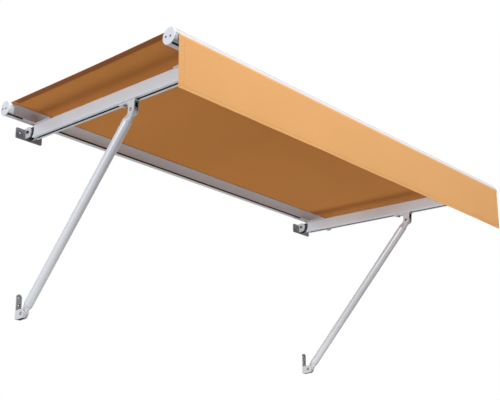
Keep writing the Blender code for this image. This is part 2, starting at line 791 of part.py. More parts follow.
def make_rear_clamp(name, x, material):
    half = 0.5 * ARM_WIDTH
    step = REAR_BAR_FORWARD + LIP_TIP
    outline = hook_outline(step, REAR_CLAMP_FRONT, REAR_BAR_FORWARD)
    clamp = solid(name, extrude_x(outline, x - half, x + half))
    strip = hook_outline(step, step + CLAMP_STRIP_DEPTH, REAR_BAR_FORWARD)
    join(clamp, extrude_x(strip, x - CLAMP_STRIP_HALF, x + CLAMP_STRIP_HALF))
    cut(clamp, clamp_screw_hole(x, REAR_CLAMP_FRONT - CLAMP_SCREW_INSET))
    return finish(clamp, canopy_frame(), material)


def make_front_clamp(name, x, material):
    """Plate behind the front bar with a saddle that cradles the bar's round back."""
    half = 0.5 * ARM_WIDTH
    seat = ARM_TOP + TOUCH
    radius = BAR_RADIUS + TOUCH
    low_angle = 180.0 + math.degrees(math.asin((BAR_UP - seat - SADDLE_HEEL) / radius))
    outline = [(FRONT_CLAMP_REAR, seat + CLAMP_THICK), (FRONT_CLAMP_REAR, seat)]
    cradle = arc((FRONT_BAR_FORWARD, BAR_UP), radius, low_angle, SADDLE_TOP_ANGLE, 8)
    outline.append((cradle[0][0], seat))
    outline.extend(cradle)
    outline.append((cradle[-1][0] - SADDLE_LIP, cradle[-1][1]))
    outline.append((cradle[-1][0] - SADDLE_FOOT, seat + CLAMP_THICK))
    clamp = solid(name, extrude_x(outline, x - half, x + half))
    cut(clamp, clamp_screw_hole(x, FRONT_CLAMP_REAR + CLAMP_SCREW_INSET))
    return finish(clamp, canopy_frame(), material)


# Wall brackets

def make_wall_bracket(name, x, material):
    low = (x - 0.5 * PLATE_WIDTH, PLATE_BOTTOM)
    high = (x + 0.5 * PLATE_WIDTH, PLATE_TOP)
    bracket = solid(name, extrude_forward(rounded_rectangle(low, high, PLATE_CORNER), 0.0, PLATE_THICK))
    ear = arc((PIVOT_FORWARD, 0.0), EAR_RADIUS, -90.0, 90.0, 16)
    ear.extend([(0.0, EAR_RADIUS), (0.0, -EAR_RADIUS)])
    outer = 0.5 * ARM_WIDTH
    inner = outer - EAR_THICK
    for low_x, high_x in ((x - outer, x - inner), (x + inner, x + outer)):
        join(bracket, extrude_x(ear, low_x, high_x))
    back = rectangle((0.0, PLATE_BOTTOM + BRACKET_WEB_LOW), (PLATE_THICK, EAR_RADIUS - BRACKET_WEB_INSET))
    reach = outer - BRACKET_WEB_INSET
    join(bracket, extrude_x(back, x - reach, x + reach))
    for offset in (-PLATE_HOLE_X, PLATE_HOLE_X):
        start = (x + offset, CUT_SPARE, PLATE_HOLE_UP)
        end = (x + offset, -PLATE_THICK - CUT_SPARE, PLATE_HOLE_UP)
        cut(bracket, rod(start, end, PLATE_HOLE_RADIUS, 16))
    start = (x - outer - CUT_SPARE, -PIVOT_FORWARD, 0.0)
    end = (x + outer + CUT_SPARE, -PIVOT_FORWARD, 0.0)
    cut(bracket, rod(start, end, BOLT_RADIUS + TOUCH, 16))
    return finish(bracket, Matrix.Identity(4), material)


def hex_prism(start, end):
    """Head of a bolt, or a nut before its hole is cut."""
    axis = Vector(end) - Vector(start)
    radius = BOLT_HEAD_FLATS / math.sqrt(3.0)
    profile = [
        (0.0, 0.0),
        (0.0, radius - BOLT_HEAD_CHAMFER),
        (BOLT_HEAD_CHAMFER, radius),
        (axis.length - BOLT_HEAD_CHAMFER, radius),
        (axis.length, radius - BOLT_HEAD_CHAMFER),
        (axis.length, 0.0),
    ]
    return lathe(profile, start, axis, 6)


def wall_bolt_point(x):
    """Place on the axis of the wall bolts."""
    return (x, -PIVOT_FORWARD, 0.0)


def make_pivot_bolt(name, x, side, material):
    outer = 0.5 * ARM_WIDTH + TOUCH
    head = hex_prism(wall_bolt_point(x + side * outer), wall_bolt_point(x + side * (outer + BOLT_HEAD_THICK)))
    bolt = solid(name, head)
    root = wall_bolt_point(x + side * (outer + CUT_SPARE))
    tip = wall_bolt_point(x - side * (outer + NUT_THICK + BOLT_TIP))
    join(bolt, rod(root, tip, BOLT_RADIUS, 16))
    return finish(bolt, Matrix.Identity(4), material)


def make_pivot_nut(name, x, side, material):
    inner = 0.5 * ARM_WIDTH + TOUCH
    outer = inner + NUT_THICK
    nut = solid(name, hex_prism(wall_bolt_point(x - side * inner), wall_bolt_point(x - side * outer)))
    hole_start = wall_bolt_point(x - side * (inner - CUT_SPARE))
    hole_end = wall_bolt_point(x - side * (outer + CUT_SPARE))
    cut(nut, rod(hole_start, hole_end, BOLT_RADIUS + TOUCH, 16))
    return finish(nut, Matrix.Identity(4), material)


# Strut brackets

def make_strut_bracket(name, x, material):
    top = ARM_BOTTOM - TOUCH
    plate = rectangle((STRUT_TOP_FORWARD - FORK_REACH_REAR, top - FORK_PLATE_THICK),
                      (STRUT_TOP_FORWARD + FORK_REACH_FRONT, top))
    half = 0.5 * FORK_WIDTH
    bracket = solid(name, extrude_x(plate, x - half, x + half))
    ear = arc((STRUT_TOP_FORWARD, STRUT_TOP_UP), FORK_EAR_RADIUS, 180.0, 360.0, 12)
    ear_rear = STRUT_TOP_FORWARD - FORK_EAR_RADIUS
    heel = ear_rear - FORK_EAR_HEEL
    ear.append((STRUT_TOP_FORWARD + FORK_EAR_RADIUS, top - FORK_EAR_OVERLAP))
    ear.append((heel, top - FORK_EAR_OVERLAP))
    ear.append((heel, top - FORK_PLATE_THICK - 0.5 * FORK_EAR_OVERLAP))
    ear.append((ear_rear, top - FORK_PLATE_THICK - FORK_EAR_HEEL))
    gap = 0.5 * FORK_GAP
    for low_x, high_x in ((x - half, x - gap), (x + gap, x + half)):
        join(bracket, extrude_x(ear, low_x, high_x))
    start = (x - half - CUT_SPARE, -STRUT_TOP_FORWARD, STRUT_TOP_UP)
    end = (x + half + CUT_SPARE, -STRUT_TOP_FORWARD, STRUT_TOP_UP)
    cut(bracket, rod(start, end, PIN_RADIUS + TOUCH, 16))
    bolt_forward = STRUT_TOP_FORWARD - FORK_BOLT_REAR
    bottom = (x, -bolt_forward, top - FORK_PLATE_THICK - CUT_SPARE)
    cut(bracket, rod(bottom, (x, -bolt_forward, top + CUT_SPARE), BOLT_RADIUS + TOUCH, 16))
    return finish(bracket, canopy_frame(), material)


def make_slot_nut(name, x, material):
    floor = ARM_BOTTOM + SLOT_LIP + TOUCH
    ceiling = floor + SLOT_NUT_THICK
    forward = STRUT_TOP_FORWARD - FORK_BOLT_REAR
    half = 0.5 * SLOT_NUT_LENGTH
    body = rectangle((forward - half, floor), (forward + half, ceiling))
    nut = solid(name, extrude_x(body, x - 0.5 * SLOT_NUT_WIDTH, x + 0.5 * SLOT_NUT_WIDTH))
    start = (x, -forward, floor - CUT_SPARE)
    end = (x, -forward, ceiling + CUT_SPARE)
    cut(nut, rod(start, end, BOLT_RADIUS + TOUCH, 16))
    return finish(nut, canopy_frame(), material)


def make_clamp_bolt(name, x, material):
    forward = STRUT_TOP_FORWARD - FORK_BOLT_REAR
    seat = ARM_BOTTOM - TOUCH - FORK_PLATE_THICK - TOUCH
    bolt = solid(name, hex_prism((x, -forward, seat), (x, -forward, seat - BOLT_HEAD_THICK)))
    tip = ARM_BOTTOM + SLOT_LIP + SLOT_NUT_THICK + CLAMP_BOLT_TIP
    join(bolt, rod((x, -forward, seat - CUT_SPARE), (x, -forward, tip), BOLT_RADIUS, 16))
    return finish(bolt, canopy_frame(), material)


def pin_profile(width):
    """Riveted pin across a fork of the given width, with a domed head at each end."""
    half = 0.5 * width + TOUCH
    rim = half + PIN_HEAD_SHARE * PIN_HEAD_THICK
    crown = half + PIN_HEAD_THICK
    return [
        (-crown, 0.0),
        (-crown, PIN_HEAD_SHARE * PIN_HEAD_RADIUS),
        (-rim, PIN_HEAD_RADIUS),
        (-half, PIN_HEAD_RADIUS),
        (-half, PIN_RADIUS),
        (half, PIN_RADIUS),
        (half, PIN_HEAD_RADIUS),
        (rim, PIN_HEAD_RADIUS),
        (crown, PIN_HEAD_SHARE * PIN_HEAD_RADIUS),
        (crown, 0.0),
    ]


def make_top_pin(name, x, material):
    origin = (x, -STRUT_TOP_FORWARD, STRUT_TOP_UP)
    pin = solid(name, lathe(pin_profile(FORK_WIDTH), origin, (1.0, 0.0, 0.0), 16))
    return finish(pin, canopy_frame(), material)


# Foot brackets

def make_foot_bracket(name, x, material):
    half = 0.5 * FOOT_WIDTH
    low = FOOT_UP - FOOT_EAR_RADIUS
    high = FOOT_PLATE_TOP
    outline = [(x - half, low), (x + half, low)]
    outline.extend(arc((x, high - half), half, 0.0, 180.0, 12))
    bracket = solid(name, extrude_forward(outline, 0.0, FOOT_PLATE_THICK))
    ear = arc((FOOT_FORWARD, FOOT_UP), FOOT_EAR_RADIUS, -90.0, 90.0, 14)
    ear.extend([(0.0, FOOT_UP + FOOT_EAR_RADIUS), (0.0, low)])
    gap = 0.5 * FORK_GAP
    for low_x, high_x in ((x - half, x - gap), (x + gap, x + half)):
        join(bracket, extrude_x(ear, low_x, high_x))
    sink_top = FOOT_SINK_DEPTH + CUT_SPARE
    sink = [(0.0, 0.0), (FOOT_SINK_DEPTH, FOOT_HOLE_SINK), (sink_top, FOOT_HOLE_SINK), (sink_top, 0.0)]
    for up in FOOT_HOLES_UP:
        start = (x, CUT_SPARE, up)
        end = (x, -FOOT_PLATE_THICK - CUT_SPARE, up)
        cut(bracket, rod(start, end, FOOT_HOLE_RADIUS, 16))
        cut(bracket, lathe(sink, (x, FOOT_SINK_DEPTH - FOOT_PLATE_THICK, up), (0.0, -1.0, 0.0), 16))
    start = (x - half - CUT_SPARE, -FOOT_FORWARD, FOOT_UP)
    end = (x + half + CUT_SPARE, -FOOT_FORWARD, FOOT_UP)
    cut(bracket, rod(start, end, PIN_RADIUS + TOUCH, 16))
    return finish(bracket, Matrix.Identity(4), material)


def make_foot_pin(name, x, material):
    origin = (x, -FOOT_FORWARD, FOOT_UP)
    pin = solid(name, lathe(pin_profile(FOOT_WIDTH), origin, (1.0, 0.0, 0.0), 16))
    return finish(pin, Matrix.Identity(4), material)


# Struts

def make_strut_tube(name, x, material):
    length = strut_span().length
    low = FITTING_LENGTH + TOUCH
    high = length - FITTING_LENGTH - TOUCH
    tube = solid(name, rod((x, 0.0, low), (x, 0.0, high), TUBE_RADIUS, 32))
    bore = rod((x, 0.0, low - CUT_SPARE), (x, 0.0, high + CUT_SPARE), TUBE_RADIUS - TUBE_WALL, 24)
    cut(tube, bore)
    return finish(tube, strut_frame(), material)


def knuckle_section(x, segments):
    """Outline of a fitting where it is flattened for the fork."""
    outline = []
    for across, depth in circle((0.0, 0.0), 1.0, segments):
        flat = math.copysign(abs(across) ** KNUCKLE_SIDE_POWER, across)
        deep = math.copysign(abs(depth) ** KNUCKLE_FACE_POWER, depth)
        outline.append((x + flat * 0.5 * KNUCKLE_WIDTH, deep * KNUCKLE_RADIUS))
    return outline


def fitting_body(x, start, direction):
    """Plug, collar and taper of a fitting whose pivot lies at the start, up or down the strut."""
    segments = 24
    collar_end = start + direction * FITTING_LENGTH
    collar_start = collar_end - direction * FITTING_COLLAR
    plug = circle((x, 0.0), TUBE_RADIUS - TUBE_WALL - TOUCH, segments)
    return loft([
        (start + direction * KNUCKLE_TAPER_END, knuckle_section(x, segments)),
        (collar_start, circle((x, 0.0), TUBE_RADIUS - FITTING_STEP, segments)),
        (collar_start, circle((x, 0.0), TUBE_RADIUS, segments)),
        (collar_end, circle((x, 0.0), TUBE_RADIUS, segments)),
        (collar_end, plug),
        (collar_end + direction * FITTING_PLUG, plug),
    ])


def make_fitting(name, x, at_top, material):
    pivot = strut_span().length if at_top else 0.0
    direction = -1.0 if at_top else 1.0
    fitting = solid(name, fitting_body(x, pivot, direction))
    half = 0.5 * KNUCKLE_WIDTH
    start = 0.0 if at_top else 180.0
    knuckle = arc((0.0, pivot), KNUCKLE_RADIUS, start, start + 180.0, 14)
    far = pivot + direction * (KNUCKLE_TAPER_END + KNUCKLE_OVERLAP)
    reach = direction * (KNUCKLE_RADIUS - FITTING_STEP)
    knuckle.extend([(reach, far), (-reach, far)])
    join(fitting, extrude_x(knuckle, x - half, x + half))
    hole = OPEN_PIN_HOLE if at_top else PIN_RADIUS + RUNNING
    start_point = (x - half - CUT_SPARE, 0.0, pivot)
    end_point = (x + half + CUT_SPARE, 0.0, pivot)
    cut(fitting, rod(start_point, end_point, hole, 24))
    return finish(fitting, strut_frame(), material)


def clear_scene():
    for thing in list(bpy.data.objects):
        bpy.data.objects.remove(thing)


def main():
    clear_scene()
    coat = make_material("silver_coat", (0.78, 0.79, 0.80), 0.42, 0.35)
    cast = make_material("cast_silver", (0.66, 0.67, 0.68), 0.50, 0.35)
    plastic = make_material("cap_plastic", (0.80, 0.81, 0.83), 0.50, 0.0)
    steel = make_material("zinc_steel", (0.42, 0.42, 0.43), 0.38, 0.9)
    cloth = make_material("awning_cloth", (0.79, 0.41, 0.15), 0.90, 0.0)
    cord = make_material("keder_cord", (0.85, 0.85, 0.83), 0.60, 0.0)

    make_bar("rear_bar", False, coat)
    make_bar("front_bar", True, coat)
    make_fabric(cloth)
    make_valance(cloth)
    make_keder("keder_rear", rear_bar_centre(), FABRIC_SLOT_ANGLE, cord)
    make_keder("keder_front", front_bar_centre(), FABRIC_SLOT_ANGLE, cord)
    make_keder("keder_valance", front_bar_centre(), VALANCE_SLOT_ANGLE, cord)
    for label, side in SIDES:
        x = side * ARM_X
        for bar, front in (("rear", False), ("front", True)):
            make_bar_cap(f"{bar}_bar_cap_{label}", side, front, plastic)
            for place, offset in zip(("inner", "outer"), CAP_SCREWS):
                make_cap_screw(f"{bar}_cap_screw_{place}_{label}", side, front, offset, steel)
        make_arm(f"arm_{label}", x, coat)
        make_knuckle(f"arm_knuckle_{label}", x, cast)
        make_arm_end_cap(f"arm_end_cap_{label}", x, plastic)
        make_rear_clamp(f"rear_clamp_{label}", x, cast)
        make_front_clamp(f"front_clamp_{label}", x, cast)
        make_clamp_screw(f"rear_clamp_screw_{label}", x, REAR_CLAMP_FRONT - CLAMP_SCREW_INSET, steel)
        make_clamp_screw(f"front_clamp_screw_{label}", x, FRONT_CLAMP_REAR + CLAMP_SCREW_INSET, steel)
        make_wall_bracket(f"wall_bracket_{label}", x, cast)
        make_pivot_bolt(f"wall_pivot_bolt_{label}", x, side, steel)
        make_pivot_nut(f"wall_pivot_nut_{label}", x, side, steel)
        make_strut_bracket(f"strut_bracket_{label}", x, cast)
        make_slot_nut(f"slot_nut_{label}", x, steel)
        make_clamp_bolt(f"clamp_bolt_{label}", x, steel)
        make_top_pin(f"top_pin_{label}", x, steel)
        make_foot_bracket(f"foot_bracket_{label}", x, cast)
        make_foot_pin(f"foot_pin_{label}", x, steel)
        make_strut_tube(f"strut_tube_{label}", x, coat)
        make_fitting(f"strut_top_fitting_{label}", x, True, cast)
        make_fitting(f"strut_foot_fitting_{label}", x, False, cast)


main()
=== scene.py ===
"""Looks of the fabric awning: cloth, valance, coated extrusions, castings and fasteners.

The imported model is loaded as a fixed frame.  The canopy slopes down to the front, so its pieces
are worked out in the canopy's own frame, with distances forward of the wall bolts and up from
them, and are then turned into the model's frame.  All lengths are in metres.
"""

import json
import logging
import math
from dataclasses import dataclass, field
from enum import Enum
from typing import Callable, Iterable, Sequence

import bmesh
import bpy
from mathutils import Matrix, Vector

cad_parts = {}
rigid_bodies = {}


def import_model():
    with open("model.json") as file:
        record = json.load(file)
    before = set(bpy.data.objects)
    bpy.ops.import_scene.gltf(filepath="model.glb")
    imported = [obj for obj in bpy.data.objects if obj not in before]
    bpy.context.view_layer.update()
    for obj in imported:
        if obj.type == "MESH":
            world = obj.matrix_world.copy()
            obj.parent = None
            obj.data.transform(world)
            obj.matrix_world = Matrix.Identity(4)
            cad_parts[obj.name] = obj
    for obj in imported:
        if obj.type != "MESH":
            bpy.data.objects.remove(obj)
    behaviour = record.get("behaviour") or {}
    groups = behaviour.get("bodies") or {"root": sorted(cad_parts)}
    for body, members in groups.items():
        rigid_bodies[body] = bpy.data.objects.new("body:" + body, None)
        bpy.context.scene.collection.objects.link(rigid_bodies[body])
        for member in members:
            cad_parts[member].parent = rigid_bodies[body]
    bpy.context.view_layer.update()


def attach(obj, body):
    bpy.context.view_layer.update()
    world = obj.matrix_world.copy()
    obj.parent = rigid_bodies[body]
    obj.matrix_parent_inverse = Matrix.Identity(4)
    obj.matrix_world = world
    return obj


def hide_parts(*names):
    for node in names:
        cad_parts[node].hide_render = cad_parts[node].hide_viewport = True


Point = tuple[float, float]
Place = tuple[float, float, float]
Colour = tuple[float, float, float]
Socket = bpy.types.NodeSocket
Outline = Callable[[float], float]
Painter = Callable[[Vector, Vector], int]
Wave = tuple[float, float, float, float]

log = logging.getLogger("awning")
SHARP_EDGE = math.radians(32.0)
# Corners nearer to each other than this are one.
MERGE = 0.00001
# Faces wider than this many borders get a border.
LARGE_FACE = 12.0
# A direction that no fastener points in.
OFF_AXIS = (0.0, 0.3, 1.0)
# The least Y of a plate's normal, and the least X of an ear's.
FACING = 0.9
SIDEWAYS = 0.6
WHITE = (1.0, 1.0, 1.0, 1.0)
MIX_COLOURS = (6, 7)
MIX_RESULT = 2
CAST_SLOT = "cast_silver"
CAP_SLOT = "cap_plastic"
COAT_SLOT = "silver_coat"
STEEL_SLOT = "zinc_steel"


class Body(Enum):
    """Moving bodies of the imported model."""

    WALL = "wall_fixings"
    CANOPY = "canopy"
    LEFT_FORK = "left_fork"
    RIGHT_FORK = "right_fork"
    LEFT_STRUT = "left_strut"
    RIGHT_STRUT = "right_strut"


class Side(Enum):
    """The two ends of the awning, as the sign of X."""

    LEFT = -1.0
    RIGHT = 1.0

    @property
    def label(self) -> str:
        """Ending of the side's node names."""
        return self.name.lower()

    @property
    def fork(self) -> Body:
        """Body of the side's strut bracket."""
        return Body[f"{self.name}_FORK"]

    @property
    def strut(self) -> Body:
        """Body of the side's strut."""
        return Body[f"{self.name}_STRUT"]


def srgb(red: float, green: float, blue: float) -> Colour:
    """Turn a colour in 0 to 255 into the linear values that the shader takes.

    Args:
        red: Red, from 0 to 255.
        green: Green, from 0 to 255.
        blue: Blue, from 0 to 255.

    Returns:
        The linear colour.
    """

    def linear(value: float) -> float:
        """Undo the display's curve for one channel."""
        share = value / 255.0
        return share / 12.92 if share <= 0.04045 else ((share + 0.055) / 1.055) ** 2.4

    return (linear(red), linear(green), linear(blue))


def scaled(colour: Colour, factor: float) -> Colour:
    """Make a colour lighter or darker by a factor."""
    return (colour[0] * factor, colour[1] * factor, colour[2] * factor)


class Nodes:
    """Small helper that adds and joins shader nodes of one material."""

    def __init__(self, name: str) -> None:
        """Start a material with a plain shader.

        Args:
            name: The material's name.
        """
        self.material = bpy.data.materials.new(name)
        self.material.use_nodes = True
        self.tree = self.material.node_tree
        self.shader = self.tree.nodes["Principled BSDF"]
        self.output = self.tree.nodes["Material Output"]

    def add(self, kind: str, **settings: object) -> bpy.types.Node:
        """Add a node and set its properties.

        Args:
            kind: The node's type name.
            **settings: Properties of the node by name.

        Returns:
            The new node.
        """
        node = self.tree.nodes.new(kind)
        for key, value in settings.items():
            setattr(node, key, value)
        return node

    def join(self, source: Socket, target: Socket) -> None:
        """Link one socket to another."""
        self.tree.links.new(source, target)

    def feed(self, target: Socket, value: object) -> None:
        """Link a socket to an input, or set the input to a constant.

        Args:
            target: The input.
            value: The socket or the constant.
        """
        if isinstance(value, Socket):
            self.join(value, target)
        else:
            target.default_value = value

    def settings(self, **values: float) -> None:
        """Set inputs of the shader, named with _ for each space, to constants."""
        for name, value in values.items():
            self.shader.inputs[name.replace("_", " ")].default_value = value

    def place(self, scale: Place = (1.0, 1.0, 1.0)) -> Socket:
        """Give Object coordinates, scaled on each axis.

        Args:
            scale: Scale on each axis.

        Returns:
            The coordinates' socket.
        """
        mapping = self.add("ShaderNodeMapping")
        mapping.inputs["Scale"].default_value = scale
        source = self.add("ShaderNodeTexCoord").outputs["Object"]
        self.join(source, mapping.inputs["Vector"])
        return mapping.outputs["Vector"]

    def noise(self, where: Socket, scale: float, detail: float) -> Socket:
        """Give a noise value.

        Args:
            where: Coordinates to read.
            scale: Lumps per metre.
            detail: Levels of finer detail.

        Returns:
            The value's socket.
        """
        node = self.add("ShaderNodeTexNoise")
        node.inputs["Scale"].default_value = scale
        node.inputs["Detail"].default_value = detail
        self.join(where, node.inputs["Vector"])
        return node.outputs["Fac"]

    def wave(self, where: Socket, axis: str, pitch: float) -> Socket:
        """Give a sine wave along one axis.

        Args:
            where: Coordinates to read.
            axis: X, Y or Z.
            pitch: Distance from one crest to the next.

        Returns:
            The value's socket.
        """
        node = self.add("ShaderNodeTexWave", wave_type="BANDS", bands_direction=axis)
        node.inputs["Scale"].default_value = math.pi / (10.0 * pitch)
        self.join(where, node.inputs["Vector"])
        return node.outputs["Fac"]

    def math(self, operation: str, first: Socket, second: Socket | float) -> Socket:
        """Work out one number from two.

        Args:
            operation: The Math node's operation.
            first: The first number's socket.
            second: A socket or a number.

        Returns:
            The result's socket.
        """
        node = self.add("ShaderNodeMath", operation=operation)
        for target, value in zip(node.inputs, (first, second)):
            self.feed(target, value)
        return node.outputs["Value"]

    def sum(self, first: Socket, share: float, second: Socket, rest: float) -> Socket:
        """Add a share of one value to a share of another.

        Args:
            first: The first value.
            share: Its share.
            second: The second value.
            rest: Its share.

        Returns:
            The sum's socket.
        """
        return self.math("ADD", self.math("MULTIPLY", first, share),
                         self.math("MULTIPLY", second, rest))

    def blend(self, share: Socket, low: Socket | Colour, high: Colour) -> Socket:
        """Mix two colours.

        Args:
            share: Share of the second colour.
            low: The first colour, or a socket that gives it.
            high: The second colour.

        Returns:
            The mixed colour's socket.
        """
        node = self.add("ShaderNodeMix", data_type="RGBA")
        self.join(share, node.inputs["Factor"])
        for index, value in zip(MIX_COLOURS, (low, high)):
            self.feed(node.inputs[index], value if isinstance(value, Socket) else (*value, 1.0))
        return node.outputs[MIX_RESULT]

    def paint(self, colour: Socket) -> None:
        """Let a colour drive the shader's base colour."""
        self.join(colour, self.shader.inputs["Base Color"])

    def bump(self, height: Socket, depth: float, strength: float = 1.0) -> None:
        """Give the shader relief.

        Args:
            height: Height from 0 to 1.
            depth: Height of the relief.
            strength: Strength of the effect.
        """
        node = self.add("ShaderNodeBump")
        node.inputs["Strength"].default_value = strength
        node.inputs["Distance"].default_value = depth
        self.join(height, node.inputs["Height"])
        self.join(node.outputs["Normal"], self.shader.inputs["Normal"])

    def roughness(self, value: Socket, low: float, high: float) -> None:
        """Let a value from 0 to 1 drive the roughness between two limits.

        Args:
            value: The value's socket.
            low: Roughness at 0.
            high: Roughness at 1.
        """
        node = self.add("ShaderNodeMapRange")
        node.inputs["To Min"].default_value = low
        node.inputs["To Max"].default_value = high
        self.join(value, node.inputs["Value"])
        self.join(node.outputs["Result"], self.shader.inputs["Roughness"])


@dataclass(frozen=True)
class MetalFinish:
    """Coated, cast or plated metal with a fine grain.

    Attributes:
        name: The material's name.
        colour: Base colour.
        metallic: Metallic share.
        roughness: Lowest and highest roughness.
        grain: Lumps of the grain per metre.
        relief: Height of the grain, or 0 for none.
        draw_lines: Pitch of the lines left by extrusion, spaced along Z, or 0 for none.
        mottle: Share by which the colour varies.
        clouds: Lumps per metre of that variation.
        strength: Strength of the relief.
        refraction: Index of refraction.
    """

    name: str
    colour: Colour
    metallic: float
    roughness: Point
    grain: float
    relief: float
    draw_lines: float = 0.0
    mottle: float = 0.06
    clouds: float = 9.0
    strength: float = 0.35
    refraction: float = 1.5

    def make(self) -> bpy.types.Material:
        """Build the material.

        Returns:
            The finished material.
        """
        nodes = Nodes(self.name)
        where = nodes.place()
        grain = nodes.noise(where, self.grain, detail=3.0)
        clouds = nodes.noise(where, self.clouds, detail=4.0)
        nodes.paint(nodes.blend(clouds, scaled(self.colour, 1.0 - self.mottle),
                                scaled(self.colour, 1.0 + 0.5 * self.mottle)))
        nodes.roughness(grain, *self.roughness)
        height = grain
        if self.draw_lines:
            height = nodes.sum(nodes.wave(where, "Z", self.draw_lines), 0.5, grain, 0.5)
        if self.relief:
            nodes.bump(height, self.relief, self.strength)
        nodes.settings(Metallic=self.metallic, IOR=self.refraction)
        return nodes.material


@dataclass(frozen=True)
class ClothFinish:
    """Woven awning cloth.

    Attributes:
        name: The material's name.
        colour: Colour of the yarn.
        along: Axis that the weft threads are spaced along; the warp's are spaced along X.
        thread: Distance from one thread to the next.
        mottle: Share by which the colour varies.
        slub: Lumps per metre of the yarn's thick places.
        slub_length: How much longer than wide they are.
        slub_share: Their share in the colour's variation; clouds have the rest.
        clouds: Lumps per metre of the clouds.
        weave_shade: How strongly the weave darkens the yarn.
        weave_dark: Brightness of the darkened yarn.
        relief: Height of the weave.
    """

    name: str
    colour: Colour
    along: str = "Y"
    thread: float = 0.0011
    mottle: float = 0.05
    slub: float = 26.0
    slub_length: float = 12.0
    slub_share: float = 0.45
    clouds: float = 5.0
    weave_shade: float = 0.16
    weave_dark: float = 0.72
    relief: float = 0.00025

    def make(self) -> bpy.types.Material:
        """Build the material.

        Returns:
            The finished material.
        """
        nodes = Nodes(self.name)
        where = nodes.place()
        weave = nodes.math("MULTIPLY", nodes.wave(where, "X", self.thread),
                           nodes.wave(where, self.along, self.thread))
        stretched = nodes.place((1.0, self.slub_length, self.slub_length))
        slub = nodes.noise(stretched, self.slub, detail=3.0)
        clouds = nodes.noise(where, self.clouds, detail=4.0)
        tone = nodes.sum(slub, self.slub_share, clouds, 1.0 - self.slub_share)
        yarn = nodes.blend(tone, scaled(self.colour, 1.0 - self.mottle),
                           scaled(self.colour, 1.0 + self.mottle))
        nodes.paint(nodes.blend(nodes.math("MULTIPLY", weave, self.weave_shade), yarn,
                                scaled(self.colour, self.weave_dark)))
        nodes.bump(nodes.sum(weave, 1.0, slub, 0.6), self.relief, strength=0.6)
        nodes.settings(Roughness=0.88, Specular_IOR_Level=0.08, Sheen_Weight=0.05,
                       Sheen_Roughness=0.5)
        return nodes.material


@dataclass(frozen=True)
class PlasticFinish:
    """Moulded plastic or plain rod with a faint grain.

    Attributes:
        name: The material's name.
        colour: Base colour.
        roughness: Lowest and highest roughness.
        relief: Height of the moulded grain.
        grain: Lumps of the grain per metre.
        clouds: Lumps per metre of the colour's variation.
        tints: Darkest and lightest share of the colour.
        refraction: Index of refraction.
    """

    name: str
    colour: Colour
    roughness: Point = (0.42, 0.55)
    relief: float = 0.00004
    grain: float = 1400.0
    clouds: float = 30.0
    tints: Point = (0.95, 1.03)
    refraction: float = 1.47

    def make(self) -> bpy.types.Material:
        """Build the material.

        Returns:
            The finished material.
        """
        nodes = Nodes(self.name)
        where = nodes.place()
        grain = nodes.noise(where, self.grain, detail=2.0)
        clouds = nodes.noise(where, self.clouds, detail=3.0)
        nodes.paint(nodes.blend(clouds, *(scaled(self.colour, tint) for tint in self.tints)))
        nodes.roughness(grain, *self.roughness)
        nodes.bump(grain, self.relief)
        nodes.settings(IOR=self.refraction)
        return nodes.material


class Finish(Enum):
    """Every finish of the awning."""

    BAR_COAT = MetalFinish("bar coat", srgb(206, 207, 210), 0.08, (0.24, 0.34), 260.0, 0.00002,
                           draw_lines=0.0016)
    ARM_COAT = MetalFinish("arm coat", srgb(214, 216, 221), 0.15, (0.32, 0.46), 260.0, 0.00002,
                           draw_lines=0.0019)
    TUBE_COAT = MetalFinish("strut coat", srgb(212, 213, 216), 0.10, (0.30, 0.36), 40.0, 0.0,
                            mottle=0.03)
    CASTING = MetalFinish("painted casting", srgb(208, 209, 211), 0.15, (0.38, 0.52), 300.0,
                          0.00006)
    PLATE = MetalFinish("wall plate", srgb(142, 142, 143), 0.30, (0.40, 0.56), 300.0, 0.00006)
    ZINC = MetalFinish("zinc plated steel", srgb(120, 120, 122), 0.9, (0.28, 0.48), 400.0,
                       0.00002, mottle=0.14)
    DARK_STEEL = MetalFinish("dark screw steel", srgb(62, 61, 60), 0.8, (0.32, 0.46), 400.0,
                             0.00002, mottle=0.14)
    # Painted shade: dark grey put in slots, holes, gaps between ears and on knuckles.
    INSIDE = MetalFinish("bare inside", srgb(54, 55, 56), 0.30, (0.45, 0.60), 300.0, 0.00005)
    CAP = PlasticFinish("cap plastic", srgb(218, 220, 225))
    ROD = PlasticFinish("hem rod", srgb(214, 212, 205), (0.5, 0.65))
    CANOPY_TOP = ClothFinish("canopy cloth, upper face", srgb(230, 171, 110))
    # Painted light: the underside is a deeper orange, for light shining through the cloth.
    CANOPY_UNDER = ClothFinish("canopy cloth, underside", srgb(234, 153, 76))
    # Painted shade: the side hem is darker, as the double cloth lets less light through.
    CANOPY_HEM = ClothFinish("canopy side hem", srgb(172, 102, 52))
    VALANCE = ClothFinish("valance cloth", srgb(230, 171, 109), "Z")
    VALANCE_HEM = ClothFinish("valance hem", srgb(232, 174, 113), "Z")
    THREAD = ClothFinish("sewing thread", srgb(168, 108, 60), thread=0.0006)

    def material(self) -> bpy.types.Material:
        """Give the finish's material, made once."""
        return bpy.data.materials.get(self.value.name) or self.value.make()


@dataclass
class CanopyPlace:
    """The canopy's own frame: forward along the arms, up from them.

    Attributes:
        pivot_forward: Distance of the wall bolts in front of the wall.
        pitch: Slope of the arms, in radians.
    """

    pivot_forward: float = 0.024
    pitch: float = math.radians(4.76)

    @property
    def matrix(self) -> Matrix:
        """Matrix from the canopy's frame to the model's."""
        bolts = Matrix.Translation((0.0, -self.pivot_forward, 0.0))
        return bolts @ Matrix.Rotation(self.pitch, 4, "X")

    def from_model(self, forward: float, up: float) -> Point:
        """Turn a (forward of the wall, up) place of the model into the canopy's frame."""
        point = self.matrix.inverted() @ Vector((0.0, -forward, up))
        return (-point.y, point.z)

    def to_model(self, x: float, forward: float, up: float) -> Vector:
        """Turn a point of the canopy's frame into the model's."""
        return self.matrix @ Vector((x, -forward, up))


